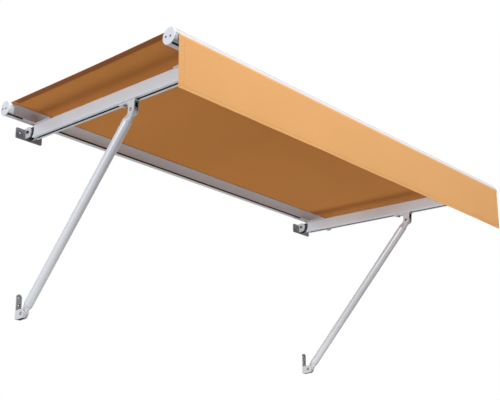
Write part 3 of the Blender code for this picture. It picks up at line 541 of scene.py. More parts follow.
@dataclass
class BarPlace:
    """Where the two cross bars lie, and the slots that hold the cloth.

    Attributes:
        radius: Radius of both bars.
        up: Height of their centres above the wall bolts, in the canopy's frame.
        rear_forward: Rear bar's distance forward.
        front_forward: Front bar's distance forward.
        fabric_slot: Direction of the fabric's slot, in degrees up from straight ahead.
        valance_slot: Direction of the valance's slot.
        keder_depth: Distance of the hem rods from a bar's centre.
        keder_radius: Radius of the hem rods.
        loop_start: Where the cloth's loop round a rod starts, in degrees from its slot.
        loop_steps: Steps of that loop.
    """

    radius: float = 0.0315
    up: float = 0.0482
    rear_forward: float = 0.0449
    front_forward: float = 1.0686
    fabric_slot: float = 57.5
    valance_slot: float = 7.0
    keder_depth: float = 0.0258
    keder_radius: float = 0.0015
    loop_start: float = 55.0
    loop_steps: int = 16

    def around(self, forward: float, radius: float, degrees: float) -> Point:
        """Point at a radius and direction from the centre of the bar at a distance forward."""
        angle = math.radians(degrees)
        return (forward + radius * math.cos(angle), self.up + radius * math.sin(angle))

    def rear(self, radius: float, degrees: float) -> Point:
        """Point at a radius and direction from the rear bar's centre."""
        return self.around(self.rear_forward, radius, degrees)

    def front(self, radius: float, degrees: float) -> Point:
        """Point at a radius and direction from the front bar's centre."""
        return self.around(self.front_forward, radius, degrees)


def arc(centre: Point, radius: float, start: float, end: float, steps: int) -> list[Point]:
    """Points of an arc.

    Args:
        centre: The arc's centre.
        radius: Its radius.
        start: First direction, in degrees.
        end: Last direction, in degrees.
        steps: Number of steps between them.

    Returns:
        The points from the first to the last.
    """
    points = []
    for index in range(steps + 1):
        angle = math.radians(start + (end - start) * index / steps)
        points.append((centre[0] + radius * math.cos(angle), centre[1] + radius * math.sin(angle)))
    return points


def path_length(path: Sequence[Point]) -> float:
    """Length of a line of points."""
    return sum(math.dist(first, second) for first, second in zip(path, path[1:]))


def finished(mesh: bmesh.types.BMesh, name: str, body: Body,
             finishes: Sequence[Finish]) -> bpy.types.Object:
    """Turn a bmesh into a piece that rides on a body.

    Args:
        mesh: The bmesh, in the model's frame; it is freed.
        name: The piece's name.
        body: The body that carries it.
        finishes: Its materials, in the order of the faces' material numbers.

    Returns:
        The new object.
    """
    data = bpy.data.meshes.new(name)
    mesh.to_mesh(data)
    mesh.free()
    piece = bpy.data.objects.new(name, data)
    bpy.context.scene.collection.objects.link(piece)
    for finish in finishes:
        data.materials.append(finish.material())
    data.shade_smooth()
    data.set_sharp_from_angle(angle=SHARP_EDGE)
    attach(piece, body.value)
    log.info("made %s: %d faces", name, len(data.polygons))
    return piece


def grow(mesh: bmesh.types.BMesh, edges: Iterable[bmesh.types.BMEdge]
         ) -> tuple[list[bmesh.types.BMVert], list[bmesh.types.BMEdge]]:
    """Extrude a line of edges, without moving the new one.

    Args:
        mesh: The bmesh that holds them.
        edges: The line's edges.

    Returns:
        The new line's points and its edges.
    """
    grown = bmesh.ops.extrude_edge_only(mesh, edges=list(edges))["geom"]
    points = [item for item in grown if isinstance(item, bmesh.types.BMVert)]
    fresh = set(points)
    line = [item for item in grown if isinstance(item, bmesh.types.BMEdge)
            and all(vert in fresh for vert in item.verts)]
    return points, line


def swept(path: Sequence[Point], half_width: float, columns: int) -> bmesh.types.BMesh:
    """Sweep a line of (forward, up) points across the awning.

    Args:
        path: The line, in the canopy's frame.
        half_width: Half the sheet's width.
        columns: Number of columns of faces across it.

    Returns:
        A bmesh of the open sheet, in the canopy's frame.
    """
    mesh = bmesh.new()
    chain = [mesh.verts.new((-half_width, -forward, up)) for forward, up in path]
    edges = [mesh.edges.new(pair) for pair in zip(chain, chain[1:])]
    step = Vector((2.0 * half_width / columns, 0.0, 0.0))
    for _ in range(columns):
        moved, edges = grow(mesh, edges)
        bmesh.ops.translate(mesh, verts=moved, vec=step)
    return mesh


def thicken(mesh: bmesh.types.BMesh, thickness: float) -> None:
    """Give an open sheet a thickness about its middle.

    Args:
        mesh: The sheet.
        thickness: Its thickness.
    """
    bmesh.ops.recalc_face_normals(mesh, faces=mesh.faces)
    mesh.normal_update()
    for vert in mesh.verts:
        vert.co += vert.normal * (0.5 * thickness)
    bmesh.ops.solidify(mesh, geom=list(mesh.faces), thickness=thickness)
    bmesh.ops.recalc_face_normals(mesh, faces=mesh.faces)


def spans(start: float, length: float, count: int) -> Iterable[Point]:
    """Share a length out.

    Args:
        start: Where it starts.
        length: The length.
        count: Number of equal shares.

    Returns:
        The start and end of each share.
    """
    for index in range(count):
        first = start + length * index / count
        yield first, first + length / count


@dataclass(frozen=True)
class Stitch:
    """One kind of raised stitch, sewn in rows.

    Attributes:
        length: Length of one stitch.
        pitch: Distance from one stitch to the next.
        width: Thickness of the thread.
        flatness: Height of a stitch as a share of its width.
    """

    length: float = 0.0032
    pitch: float = 0.0046
    width: float = 0.0008
    flatness: float = 0.7

    def sew(self, target: bmesh.types.BMesh, start: Vector, end: Vector, out: Vector) -> None:
        """Add a row of stitches along a line to a bmesh.

        Args:
            target: The bmesh that takes them.
            start: First point of the row.
            end: Last point of the row.
            out: Direction that the stitches stand out of the cloth.
        """
        along = (end - start).normalized()
        side = out.cross(along).normalized()
        turn = Matrix((along, side, out.normalized())).transposed().to_4x4()
        lay = Matrix.Rotation(math.radians(90.0), 3, "Y")
        for index in range(int((end - start).length / self.pitch)):
            centre = start + along * ((index + 0.5) * self.pitch)
            verts = bmesh.ops.create_cone(target, cap_ends=True, segments=6,
                                          radius1=0.5 * self.width, radius2=0.5 * self.width,
                                          depth=self.length)["verts"]
            bmesh.ops.rotate(target, verts=verts, matrix=lay)
            bmesh.ops.scale(target, verts=verts, vec=Vector((1.0, 1.0, self.flatness)))
            bmesh.ops.transform(target, verts=verts, matrix=Matrix.Translation(centre) @ turn)


@dataclass
class Cloth:
    """What the canopy and the valance share.

    Attributes:
        place: The canopy's frame.
        bars: Where the bars lie.
        half_width: Half the cloth's width.
        thickness: Thickness of the cloth.
        gap: Gap between the cloth and what it lies on.
        hem_gap: Gap between the cloth and its hems.
        inset: How far the hems stay inside the cloth's edges.
        side_hem: Width of the side hems.
        hem_columns: Columns of faces across a side hem.
        stitch: The stitches.
        waves: Each wave's height as a share, radians per metre across, starting angle, and
            radians that it shifts by along the cloth.
    """

    place: CanopyPlace
    bars: BarPlace
    half_width: float = 1.0286
    thickness: float = 0.0007
    gap: float = 0.0003
    hem_gap: float = 0.0001
    inset: float = 0.0002
    side_hem: float = 0.0270
    hem_columns: int = 3
    stitch: Stitch = Stitch()
    waves: tuple[Wave, ...] = ()

    @property
    def loop(self) -> float:
        """Radius of the cloth's middle where it goes round a hem rod."""
        return self.bars.keder_radius + self.gap + 0.5 * self.thickness

    def waved(self, x: float, share: float) -> float:
        """Add up the waves.

        Args:
            x: Place across.
            share: Place along, from 0 to 1.

        Returns:
            Their height there, as a share of the full one.
        """
        return sum(height * math.sin(rate * x + start + slant * share)
                   for height, rate, start, slant in self.waves)

    def piece(self, mesh: bmesh.types.BMesh, name: str, *finishes: Finish) -> bpy.types.Object:
        """Finish a piece of cloth or thread, which the canopy carries.

        Args:
            mesh: The bmesh, in the model's frame; it is freed.
            name: The piece's name.
            *finishes: Its materials.

        Returns:
            The piece.
        """
        made = finished(mesh, name, Body.CANOPY, finishes)
        return made


@dataclass
class Canopy(Cloth):
    """The fabric between the bars, with its side hems and their stitching.

    Attributes:
        sag: How far the cloth hangs through at mid-length.
        sag_power: Power that shapes the sag.
        lift: How far the cloth stands off the rear bar where it leaves its slot.
        rows: Rows of faces between the bars.
        columns: Columns of faces across the cloth.
        seam_inset: Distance of the stitches from the hem's inner edge.
        seam_rows: Rows of faces that one run of stitches spans.
        seam_gap: Distance of the stitches from the hem's face.
        slot_edges: Angles in degrees past the rear slot and before the front one at which the
            cloth leaves and meets the bars.
        wrap_steps: Steps of the cloth's curve over the front bar.
        tuck: How deep the cloth goes straight into the front slot.
        swell: Height of the cloth's ripples.
        waves: The ripples' waves.
        still: Lengths behind the front bar and before the rear one that don't ripple.
        under_normal: Faces whose normal has a lower Z than this are the underside, with painted
            light.
    """

    sag: float = 0.0030
    sag_power: float = 1.2
    lift: float = 0.0004
    rows: int = 56
    columns: int = 90
    seam_inset: float = 0.003
    seam_rows: int = 5
    seam_gap: float = 0.0002
    slot_edges: Point = (1.0, 0.4)
    wrap_steps: int = 12
    tuck: float = 0.0010
    swell: float = 0.0010
    waves: tuple[Wave, ...] = ((0.6, 7.0, 1.3, 0.0), (0.4, 17.0, 0.0, 4.0))
    still: Point = (0.05, 0.03)
    under_normal: float = -0.2

    @property
    def wrap(self) -> float:
        """Radius of the cloth's middle where it lies on a bar."""
        return self.bars.radius + self.gap + 0.5 * self.thickness

    def run(self) -> list[Point]:
        """Line of the cloth between the bars, fine enough to curve.

        Returns:
            Points from the rear slot to just before the front bar's top.
        """
        start = self.bars.rear(self.wrap + self.lift, self.bars.fabric_slot - self.slot_edges[0])
        top = self.bars.front(self.wrap, 90.0)
        line = []
        for index in range(self.rows):
            share = index / self.rows
            dip = self.sag * math.sin(math.pi * share) ** self.sag_power
            line.append((start[0] + (top[0] - start[0]) * share,
                         start[1] + (top[1] - start[1]) * share - dip))
        return line

    def path(self) -> list[Point]:
        """Whole line of the cloth, from its loop round the rear rod to that round the front one.

        Returns:
            The line's points.
        """
        bars = self.bars
        turn = bars.fabric_slot
        rear = bars.rear(bars.keder_depth, turn)
        front = bars.front(bars.keder_depth, turn)
        centre = (bars.front_forward, bars.up)
        first, last = turn + bars.loop_start, turn + 360.0
        line = arc(rear, self.loop, first, last, bars.loop_steps)
        line.append(bars.rear(bars.radius, turn))
        line.extend(self.run())
        line.extend(arc(centre, self.wrap, 90.0, turn + self.slot_edges[1], self.wrap_steps))
        line.append(bars.front(bars.radius - self.tuck, turn))
        line.extend(arc(front, self.loop, last, first, bars.loop_steps))
        return line

    def ripple(self, point: Vector) -> None:
        """Let the cloth give a little between the bars.

        Args:
            point: A point of the cloth in the canopy's frame, which is moved.
        """
        forward = -point.y
        low = self.bars.rear_forward + self.still[0]
        high = self.bars.front_forward - self.still[1]
        if low < forward < high:
            share = (forward - low) / (high - low)
            point.z += self.swell * math.sin(math.pi * share) * self.waved(point.x, share)

    def build(self) -> bpy.types.Object:
        """Make the cloth, its hems and their stitches.

        Returns:
            The cloth.
        """
        path = self.path()
        mesh = swept(path, self.half_width, self.columns)
        for vert in mesh.verts:
            self.ripple(vert.co)
        thicken(mesh, self.thickness)
        for face in mesh.faces:
            # Downward faces take the underside's painted light: deeper orange for light through the
            # cloth.
            face.material_index = int(face.normal.z < self.under_normal)
        mesh.transform(self.place.matrix)
        cloth = self.piece(mesh, "canopy_cloth", Finish.CANOPY_TOP, Finish.CANOPY_UNDER)
        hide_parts("fabric")
        hems = [self.build_hem(side) for side in Side]
        seams = [self.build_seam(side) for side in Side]
        path_length(path)
        return cloth

    def build_hem(self, side: Side) -> bpy.types.Object:
        """Make the strip that is folded under the cloth at one side, darkened with painted shade.

        Args:
            side: The end of the awning.

        Returns:
            The hem.
        """
        drop = self.thickness + self.hem_gap
        line = [(forward, up - drop) for forward, up in self.run()[1:]]
        mesh = swept(line, 0.5 * self.side_hem, self.hem_columns)
        for vert in mesh.verts:
            vert.co.x += side.value * (self.half_width - 0.5 * self.side_hem - self.inset)
            self.ripple(vert.co)
        thicken(mesh, self.thickness)
        mesh.transform(self.place.matrix)
        return self.piece(mesh, f"canopy_hem_{side.label}", Finish.CANOPY_HEM)

    def build_seam(self, side: Side) -> bpy.types.Object:
        """Make the stitches along one side hem.

        Args:
            side: The end of the awning.

        Returns:
            The stitches.
        """
        x = side.value * (self.half_width - self.side_hem + self.seam_inset)
        under = 1.5 * self.thickness + self.seam_gap
        places = [Vector((x, -forward, up - under)) for forward, up in self.run()]
        for place in places:
            self.ripple(place)
        mesh = bmesh.new()
        rows = places[1::self.seam_rows]
        for first, second in zip(rows, rows[1:]):
            self.stitch.sew(mesh, first, second, Vector((0.0, 0.0, -1.0)))
        mesh.transform(self.place.matrix)
        return self.piece(mesh, f"canopy_stitches_{side.label}", Finish.THREAD)


@dataclass
class Valance(Cloth):
    """The straight flap that hangs from the front bar.

    Attributes:
        forward: Its plane's distance in front of the wall.
        top: Height where it starts to hang straight.
        height: Its height.
        bend: Height of the bend between the slot and the flap.
        lip: How far the bend keeps inside the flap's plane.
        rows: Rows of faces down the flap.
        columns: Columns of faces across it.
        shoulder: How far below the top the bend's outer point lies.
        swing: Depth of its soft folds at the lower edge.
        swing_power: Power by which the folds deepen downwards.
        waves: The folds' waves.
        still: Share of the height, from the top, that has no folds.
        foot_hem: Height of the hem along the lower edge.
        hem_rows: Rows of faces in the foot hem and in a side hem.
        seam_inset: Distance of the stitches from the hems' inner edges.
        seam_gap: Distance of the stitches from the hems' face.
        bare: Bare length beside the foot hem's stitches, and above the side hems'.
        foot_runs: Straight runs of stitches along the foot hem.
        side_runs: Straight runs of stitches along a side hem.
    """

    forward: float = 1.1291
    top: float = -0.0389
    height: float = 0.2000
    bend: float = 0.0030
    lip: float = 0.0012
    rows: int = 24
    columns: int = 120
    shoulder: float = 0.0010
    swing: float = 0.0022
    swing_power: float = 1.3
    waves: tuple[Wave, ...] = ((0.5, 6.1, 0.6, 0.0), (0.3, 13.0, 2.0, 0.0),
                               (0.2, 29.0, 0.0, 0.0))
    still: float = 0.02
    foot_hem: float = 0.0160
    hem_rows: tuple[int, int] = (3, 22)
    seam_inset: float = 0.0025
    seam_gap: float = 0.0001
    bare: Point = (0.002, 0.010)
    foot_runs: int = 60
    side_runs: int = 10

    @property
    def foot(self) -> float:
        """Height of the lower edge."""
        return self.top - self.height

    def path(self) -> list[Point]:
        """Line of the valance in the canopy's frame, from its rod to the lower edge.

        Returns:
            The line's points.
        """
        bars = self.bars
        turn = bars.valance_slot
        keder = bars.front(bars.keder_depth, turn)
        line = arc(keder, self.loop, turn + bars.loop_start, turn + 360.0, bars.loop_steps)
        line.append(bars.front(bars.radius + self.lip, turn))
        line.append(self.place.from_model(self.forward - self.lip, self.top - self.shoulder))
        for index in range(self.rows + 1):
            up = self.top - self.bend - (self.height - self.bend) * index / self.rows
            line.append(self.place.from_model(self.forward, up))
        return line

    def ripple(self, point: Vector) -> None:
        """Give the flap its soft folds.

        Args:
            point: A point of the flap in the model's frame, which is moved.
        """
        drop = (self.top - point.z) / self.height
        if drop > self.still:
            point.y += self.swing * self.waved(point.x, drop) * drop ** self.swing_power

    def build(self) -> bpy.types.Object:
        """Make the flap, its hems and their stitches.

        Returns:
            The flap.
        """
        path = self.path()
        mesh = swept(path, self.half_width, self.columns)
        mesh.transform(self.place.matrix)
        for vert in mesh.verts:
            self.ripple(vert.co)
        thicken(mesh, self.thickness)
        flap = self.piece(mesh, "valance_cloth", Finish.VALANCE)
        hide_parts("valance")
        parts = [self.build_foot_hem(), self.build_stitches()]
        parts.extend(self.build_side_hem(side) for side in Side)
        path_length(path)
        return flap

    def strip(self, low: Point, high: Point, columns: int, rows: int) -> bmesh.types.BMesh:
        """Make a folded-over strip behind the flap.

        Args:
            low: Lowest (x, z).
            high: Highest (x, z).
            columns: Columns of faces.
            rows: Rows of faces.

        Returns:
            A bmesh in the model's frame.
        """
        mesh = bmesh.new()
        bmesh.ops.create_grid(mesh, x_segments=columns, y_segments=rows, size=0.5)
        behind = -self.forward + self.thickness + self.hem_gap
        for vert in mesh.verts:
            x = low[0] + (vert.co.x + 0.5) * (high[0] - low[0])
            z = low[1] + (vert.co.y + 0.5) * (high[1] - low[1])
            vert.co = (x, behind, z)
            self.ripple(vert.co)
        thicken(mesh, self.thickness)
        return mesh

    def build_foot_hem(self) -> bpy.types.Object:
        """Make the hem along the lower edge.

        Returns:
            The hem.
        """
        low = self.foot + self.inset
        outer = self.half_width - self.inset
        mesh = self.strip((-outer, low), (outer, low + self.foot_hem), self.columns,
                          self.hem_rows[0])
        return self.piece(mesh, "valance_foot_hem", Finish.VALANCE_HEM)

    def build_side_hem(self, side: Side) -> bpy.types.Object:
        """Make the hem at one side.

        Args:
            side: The end of the awning.

        Returns:
            The hem.
        """
        outer = side.value * (self.half_width - self.inset)
        inner = side.value * (self.half_width - self.side_hem)
        low = self.foot + self.foot_hem + 3.0 * self.inset
        mesh = self.strip((min(inner, outer), low), (max(inner, outer), self.top - 2.0 * self.bend),
                          self.hem_columns, self.hem_rows[1])
        return self.piece(mesh, f"valance_side_hem_{side.label}", Finish.VALANCE_HEM)

    def build_stitches(self) -> bpy.types.Object:
        """Make the rows of stitches on the flap's face.

        Returns:
            All the stitches as one piece.
        """
        face = -self.forward - 0.5 * self.thickness - self.seam_gap
        row_up = self.foot + self.foot_hem - self.seam_inset
        margin, top_margin = self.bare
        runs = [((left, row_up), (right, row_up)) for left, right in
                spans(margin - self.half_width, 2.0 * (self.half_width - margin), self.foot_runs)]
        for side in Side:
            x = side.value * (self.half_width - self.side_hem + self.seam_inset)
            length = self.height - self.foot_hem - top_margin
            runs.extend(((x, low), (x, high)) for low, high in
                        spans(self.foot + self.foot_hem, length, self.side_runs))
        mesh = bmesh.new()
        for run in runs:
            ends = [Vector((x, face, z)) for x, z in run]
            for end in ends:
                self.ripple(end)
            self.stitch.sew(mesh, *ends, Vector((0.0, -1.0, 0.0)))
        return self.piece(mesh, "valance_stitches", Finish.THREAD)


def show_instead(mesh: bmesh.types.BMesh, node: str, body: Body, slot: str,
                 finishes: Sequence[Finish]) -> bpy.types.Object:
    """Finish a rigid piece that stands for a CAD node.

    Args:
        mesh: The bmesh, in the model's frame; it is freed.
        node: The CAD node.
        body: The body that carries it.
        slot: The record's material slot; not used.
        finishes: Its materials, in the order of the faces' material numbers.

    Returns:
        The piece.
    """
    piece = finished(mesh, f"{node}_shown", body, finishes)
    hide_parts(node)
    return piece


@dataclass
class HardPart:
    """A rigid CAD node that is shown with rounded edges.

    Attributes:
        node: The CAD node.
        body: The body that carries it.
        slot: The record's material slot.
        finishes: Its finishes, the main one first.
        edge: Radius of the rounded edges.
        segments: Segments of the rounding.
        corner: Edges sharper than this many degrees are rounded.
        border: Width of the flat faces' borders, within which the shading turns.
        paint: Picks a finish from a face's centre and normal in the frame below, if any.
        frame: Matrix from the painter's frame to the model's.
    """

    node: str
    body: Body
    slot: str
    finishes: tuple[Finish, ...]
    edge: float
    segments: int = 2
    corner: float = 38.0
    border: float = 0.0003
    paint: Painter | None = None
    frame: Matrix = field(default_factory=lambda: Matrix.Identity(4))

    def clean_copy(self) -> bmesh.types.BMesh:
        """Copy the node's mesh, with its corners merged and its flat faces whole.

        Returns:
            The copy, in the model's frame.
        """
        mesh = bmesh.new()
        mesh.from_mesh(bpy.data.objects[self.node].data)
        bmesh.ops.remove_doubles(mesh, verts=mesh.verts, dist=MERGE)
        bmesh.ops.dissolve_limit(mesh, angle_limit=math.radians(1.0), verts=mesh.verts,
                                 edges=mesh.edges, use_dissolve_boundaries=False)
        return mesh

    def round_edges(self, mesh: bmesh.types.BMesh) -> None:
        """Round the sharp edges.

        Args:
            mesh: The clean copy.
        """
        corner = math.radians(self.corner)
        sharp = [edge for edge in mesh.edges
                 if len(edge.link_faces) == 2 and edge.calc_face_angle(0.0) > corner]
        bmesh.ops.bevel(mesh, geom=sharp, offset=self.edge, offset_type="OFFSET", affect="EDGES",
                        segments=self.segments, profile=0.5, clamp_overlap=True, material=-1)

    def border_faces(self, mesh: bmesh.types.BMesh) -> None:
        """Give the large flat faces a narrow border, so that they are shaded flat.

        Args:
            mesh: The rounded copy.
        """
        least = (LARGE_FACE * self.border) ** 2
        large = [face for face in mesh.faces if face.calc_area() > least]
        bmesh.ops.inset_individual(mesh, faces=large, thickness=self.border,
                                   use_even_offset=False)

    def build(self) -> bpy.types.Object:
        """Make the piece that stands for the node.

        Returns:
            The piece.
        """
        mesh = self.clean_copy()
        self.round_edges(mesh)
        self.border_faces(mesh)
        if self.paint:
            inward = self.frame.inverted()
            for face in mesh.faces:
                centre = inward @ face.calc_center_median()
                face.material_index = self.paint(centre, inward.to_3x3() @ face.normal)
        return show_instead(mesh, self.node, self.body, self.slot, self.finishes)


def cross_shape(length: float, half_width: float) -> Outline:
    """Outline of a cross recess.

    Args:
        length: Reach of its arms from the centre.
        half_width: Half the width of an arm.

    Returns:
        The distance from the centre for a direction.
    """

    def reach(angle: float) -> float:
        """Measure to the arm's end or flank, whichever comes first.

        Args:
            angle: The direction.

        Returns:
            The distance.
        """
        along, beside = max(abs(math.cos(angle)), 1e-6), max(abs(math.sin(angle)), 1e-6)
        return max(min(length / along, half_width / beside),
                   min(length / beside, half_width / along))

    return reach


def hexagon_shape(flats: float) -> Outline:
    """Outline of a hexagon.

    Args:
        flats: Width across the flats.

    Returns:
        The distance from the centre for a direction.
    """

    def reach(angle: float) -> float:
        """Distance to the flat that lies in this direction."""
        turn = (angle + math.pi / 6.0) % (math.pi / 3.0) - math.pi / 6.0
        return 0.5 * flats / math.cos(turn)

    return reach


def round_shape(radius: float) -> Outline:
    """Outline of a circle of a radius."""
    return lambda angle: radius


@dataclass
class Lofted:
    """A fastener or tube that is lofted along its axis and stands for a CAD node.

    Attributes:
        node: The CAD node.
        body: The body that carries it.
        slot: The record's material slot.
        finish: Its finish.
        start: A point on the axis, in the model's frame.
        axis: Direction of the axis.
        loops: (distance along the axis, outline) pairs from one end to the other.
        points: Number of points in each loop.
        closed: Whether the last loop joins the first, as in a tube.
    """

    node: str
    body: Body
    slot: str
    finish: Finish
    start: Vector
    axis: Vector
    loops: list[tuple[float, Outline]]
    points: int = 48
    closed: bool = False

    def shape_ring(self, ring: Iterable[bmesh.types.BMVert], distance: float,
                   shape: Outline) -> None:
        """Move a ring's points onto an outline, each in its own direction.

        Args:
            ring: The ring's points.
            distance: Distance along the axis.
            shape: The outline.
        """
        for vert in ring:
            angle = math.atan2(vert.co.y, vert.co.x)
            reach = shape(angle)
            vert.co = (reach * math.cos(angle), reach * math.sin(angle), distance)

    def build(self) -> bpy.types.Object:
        """Make the piece.

        Returns:
            The piece.
        """
        mesh = bmesh.new()
        ring = bmesh.ops.create_circle(mesh, cap_ends=False, segments=self.points,
                                       radius=1.0)["verts"]
        first = edges = list(mesh.edges)
        self.shape_ring(ring, *self.loops[0])
        for loop in self.loops[1:]:
            ring, edges = grow(mesh, edges)
            self.shape_ring(ring, *loop)
        if self.closed:
            bmesh.ops.bridge_loops(mesh, edges=first + edges)
        else:
            bmesh.ops.holes_fill(mesh, edges=first + edges, sides=0)
        axis = self.axis.normalized()
        side = axis.cross(Vector(OFF_AXIS)).normalized()
        turn = Matrix((side, axis.cross(side), axis)).transposed().to_4x4()
        mesh.transform(Matrix.Translation(self.start) @ turn)
        bmesh.ops.recalc_face_normals(mesh, faces=mesh.faces)
        return show_instead(mesh, self.node, self.body, self.slot, [self.finish])


@dataclass(frozen=True)
class Screw:
    """A screw with a domed head and a cross recess.

    Attributes:
        reach: Length of the shank.
        radius: Radius of the shank.
        head: Radius of the head.
        rise: Height of the head.
    """

    reach: float
    radius: float
    head: float
    rise: float

    def loops(self) -> list[tuple[float, Outline]]:
        """Give the screw's outlines, from its tip to the bottom of the recess.

        Returns:
            (distance from the tip, outline) pairs.
        """
        radius, head = self.radius, self.head
        dome = ((0.0, 1.0), (0.35, 1.0), (0.70, 0.90), (0.92, 0.72))
        return [
            (0.0, round_shape(0.6 * radius)),
            (0.6 * radius, round_shape(radius)),
            (self.reach, round_shape(radius)),
            *((self.reach + up * self.rise, round_shape(wide * head)) for up, wide in dome),
            (self.reach + self.rise, cross_shape(0.56 * head, 0.14 * head)),
            (self.reach + 0.35 * self.rise, cross_shape(0.42 * head, 0.12 * head)),
        ]


@dataclass(frozen=True)
class Bolt:
    """A hexagon bolt with a chamfered head and a washer face.

    Attributes:
        reach: Length of the shank up to the head.
        head: Thickness of the head.
        flats: Width of the head across the flats.
        radius: Radius of the shank.
        chamfer: Height of the chamfers on the shank's tip and on the head.
        washer: Thickness of the washer face.
        mark: Depth of the hollow in the head.
    """

    reach: float
    head: float = 0.0055
    flats: float = 0.013
    radius: float = 0.0040
    chamfer: float = 0.0008
    washer: float = 0.0004
    mark: float = 0.0003

    def loops(self) -> list[tuple[float, Outline]]:
        """Give the bolt's outlines, from its tip to the hollow in its head.

        Returns:
            (distance from the tip, outline) pairs.
        """
        reach, flats = self.reach, self.flats
        top = reach + self.head
        return [
            (0.0, round_shape(self.radius - self.chamfer)),
            (self.chamfer, round_shape(self.radius)),
            (reach, round_shape(self.radius)),
            (reach, round_shape(0.48 * flats)),
            (reach + self.washer, round_shape(0.48 * flats)),
            (reach + self.washer, hexagon_shape(0.99 * flats)),
            (top - self.chamfer, hexagon_shape(0.99 * flats)),
            (top, round_shape(0.46 * flats)),
            (top, round_shape(0.30 * flats)),
            (top - self.mark, round_shape(0.27 * flats)),
        ]


@dataclass(frozen=True)
class Pin:
    """A pin across a fork, with a riveted head at each end.

    Attributes:
        width: Width of the fork.
        gap: Gap between the fork and the heads.
        head: (distance outside the gap, radius) pairs of a head, from its middle to the shank.
    """

    width: float
    gap: float = 0.0003
    head: tuple[Point, ...] = ((0.0029, 0.0018), (0.0030, 0.0032), (0.0025, 0.0052),
                               (0.0014, 0.0069), (0.0002, 0.0070), (0.0, 0.0068), (0.0, 0.0040))

    def loops(self) -> list[tuple[float, Outline]]:
        """Give the pin's outlines, from one head to the other.

        Returns:
            (distance from the middle, outline) pairs.
        """
        half = 0.5 * self.width + self.gap
        left = [(-(half + out), round_shape(radius)) for out, radius in self.head]
        return left + [(-distance, outline) for distance, outline in reversed(left)]


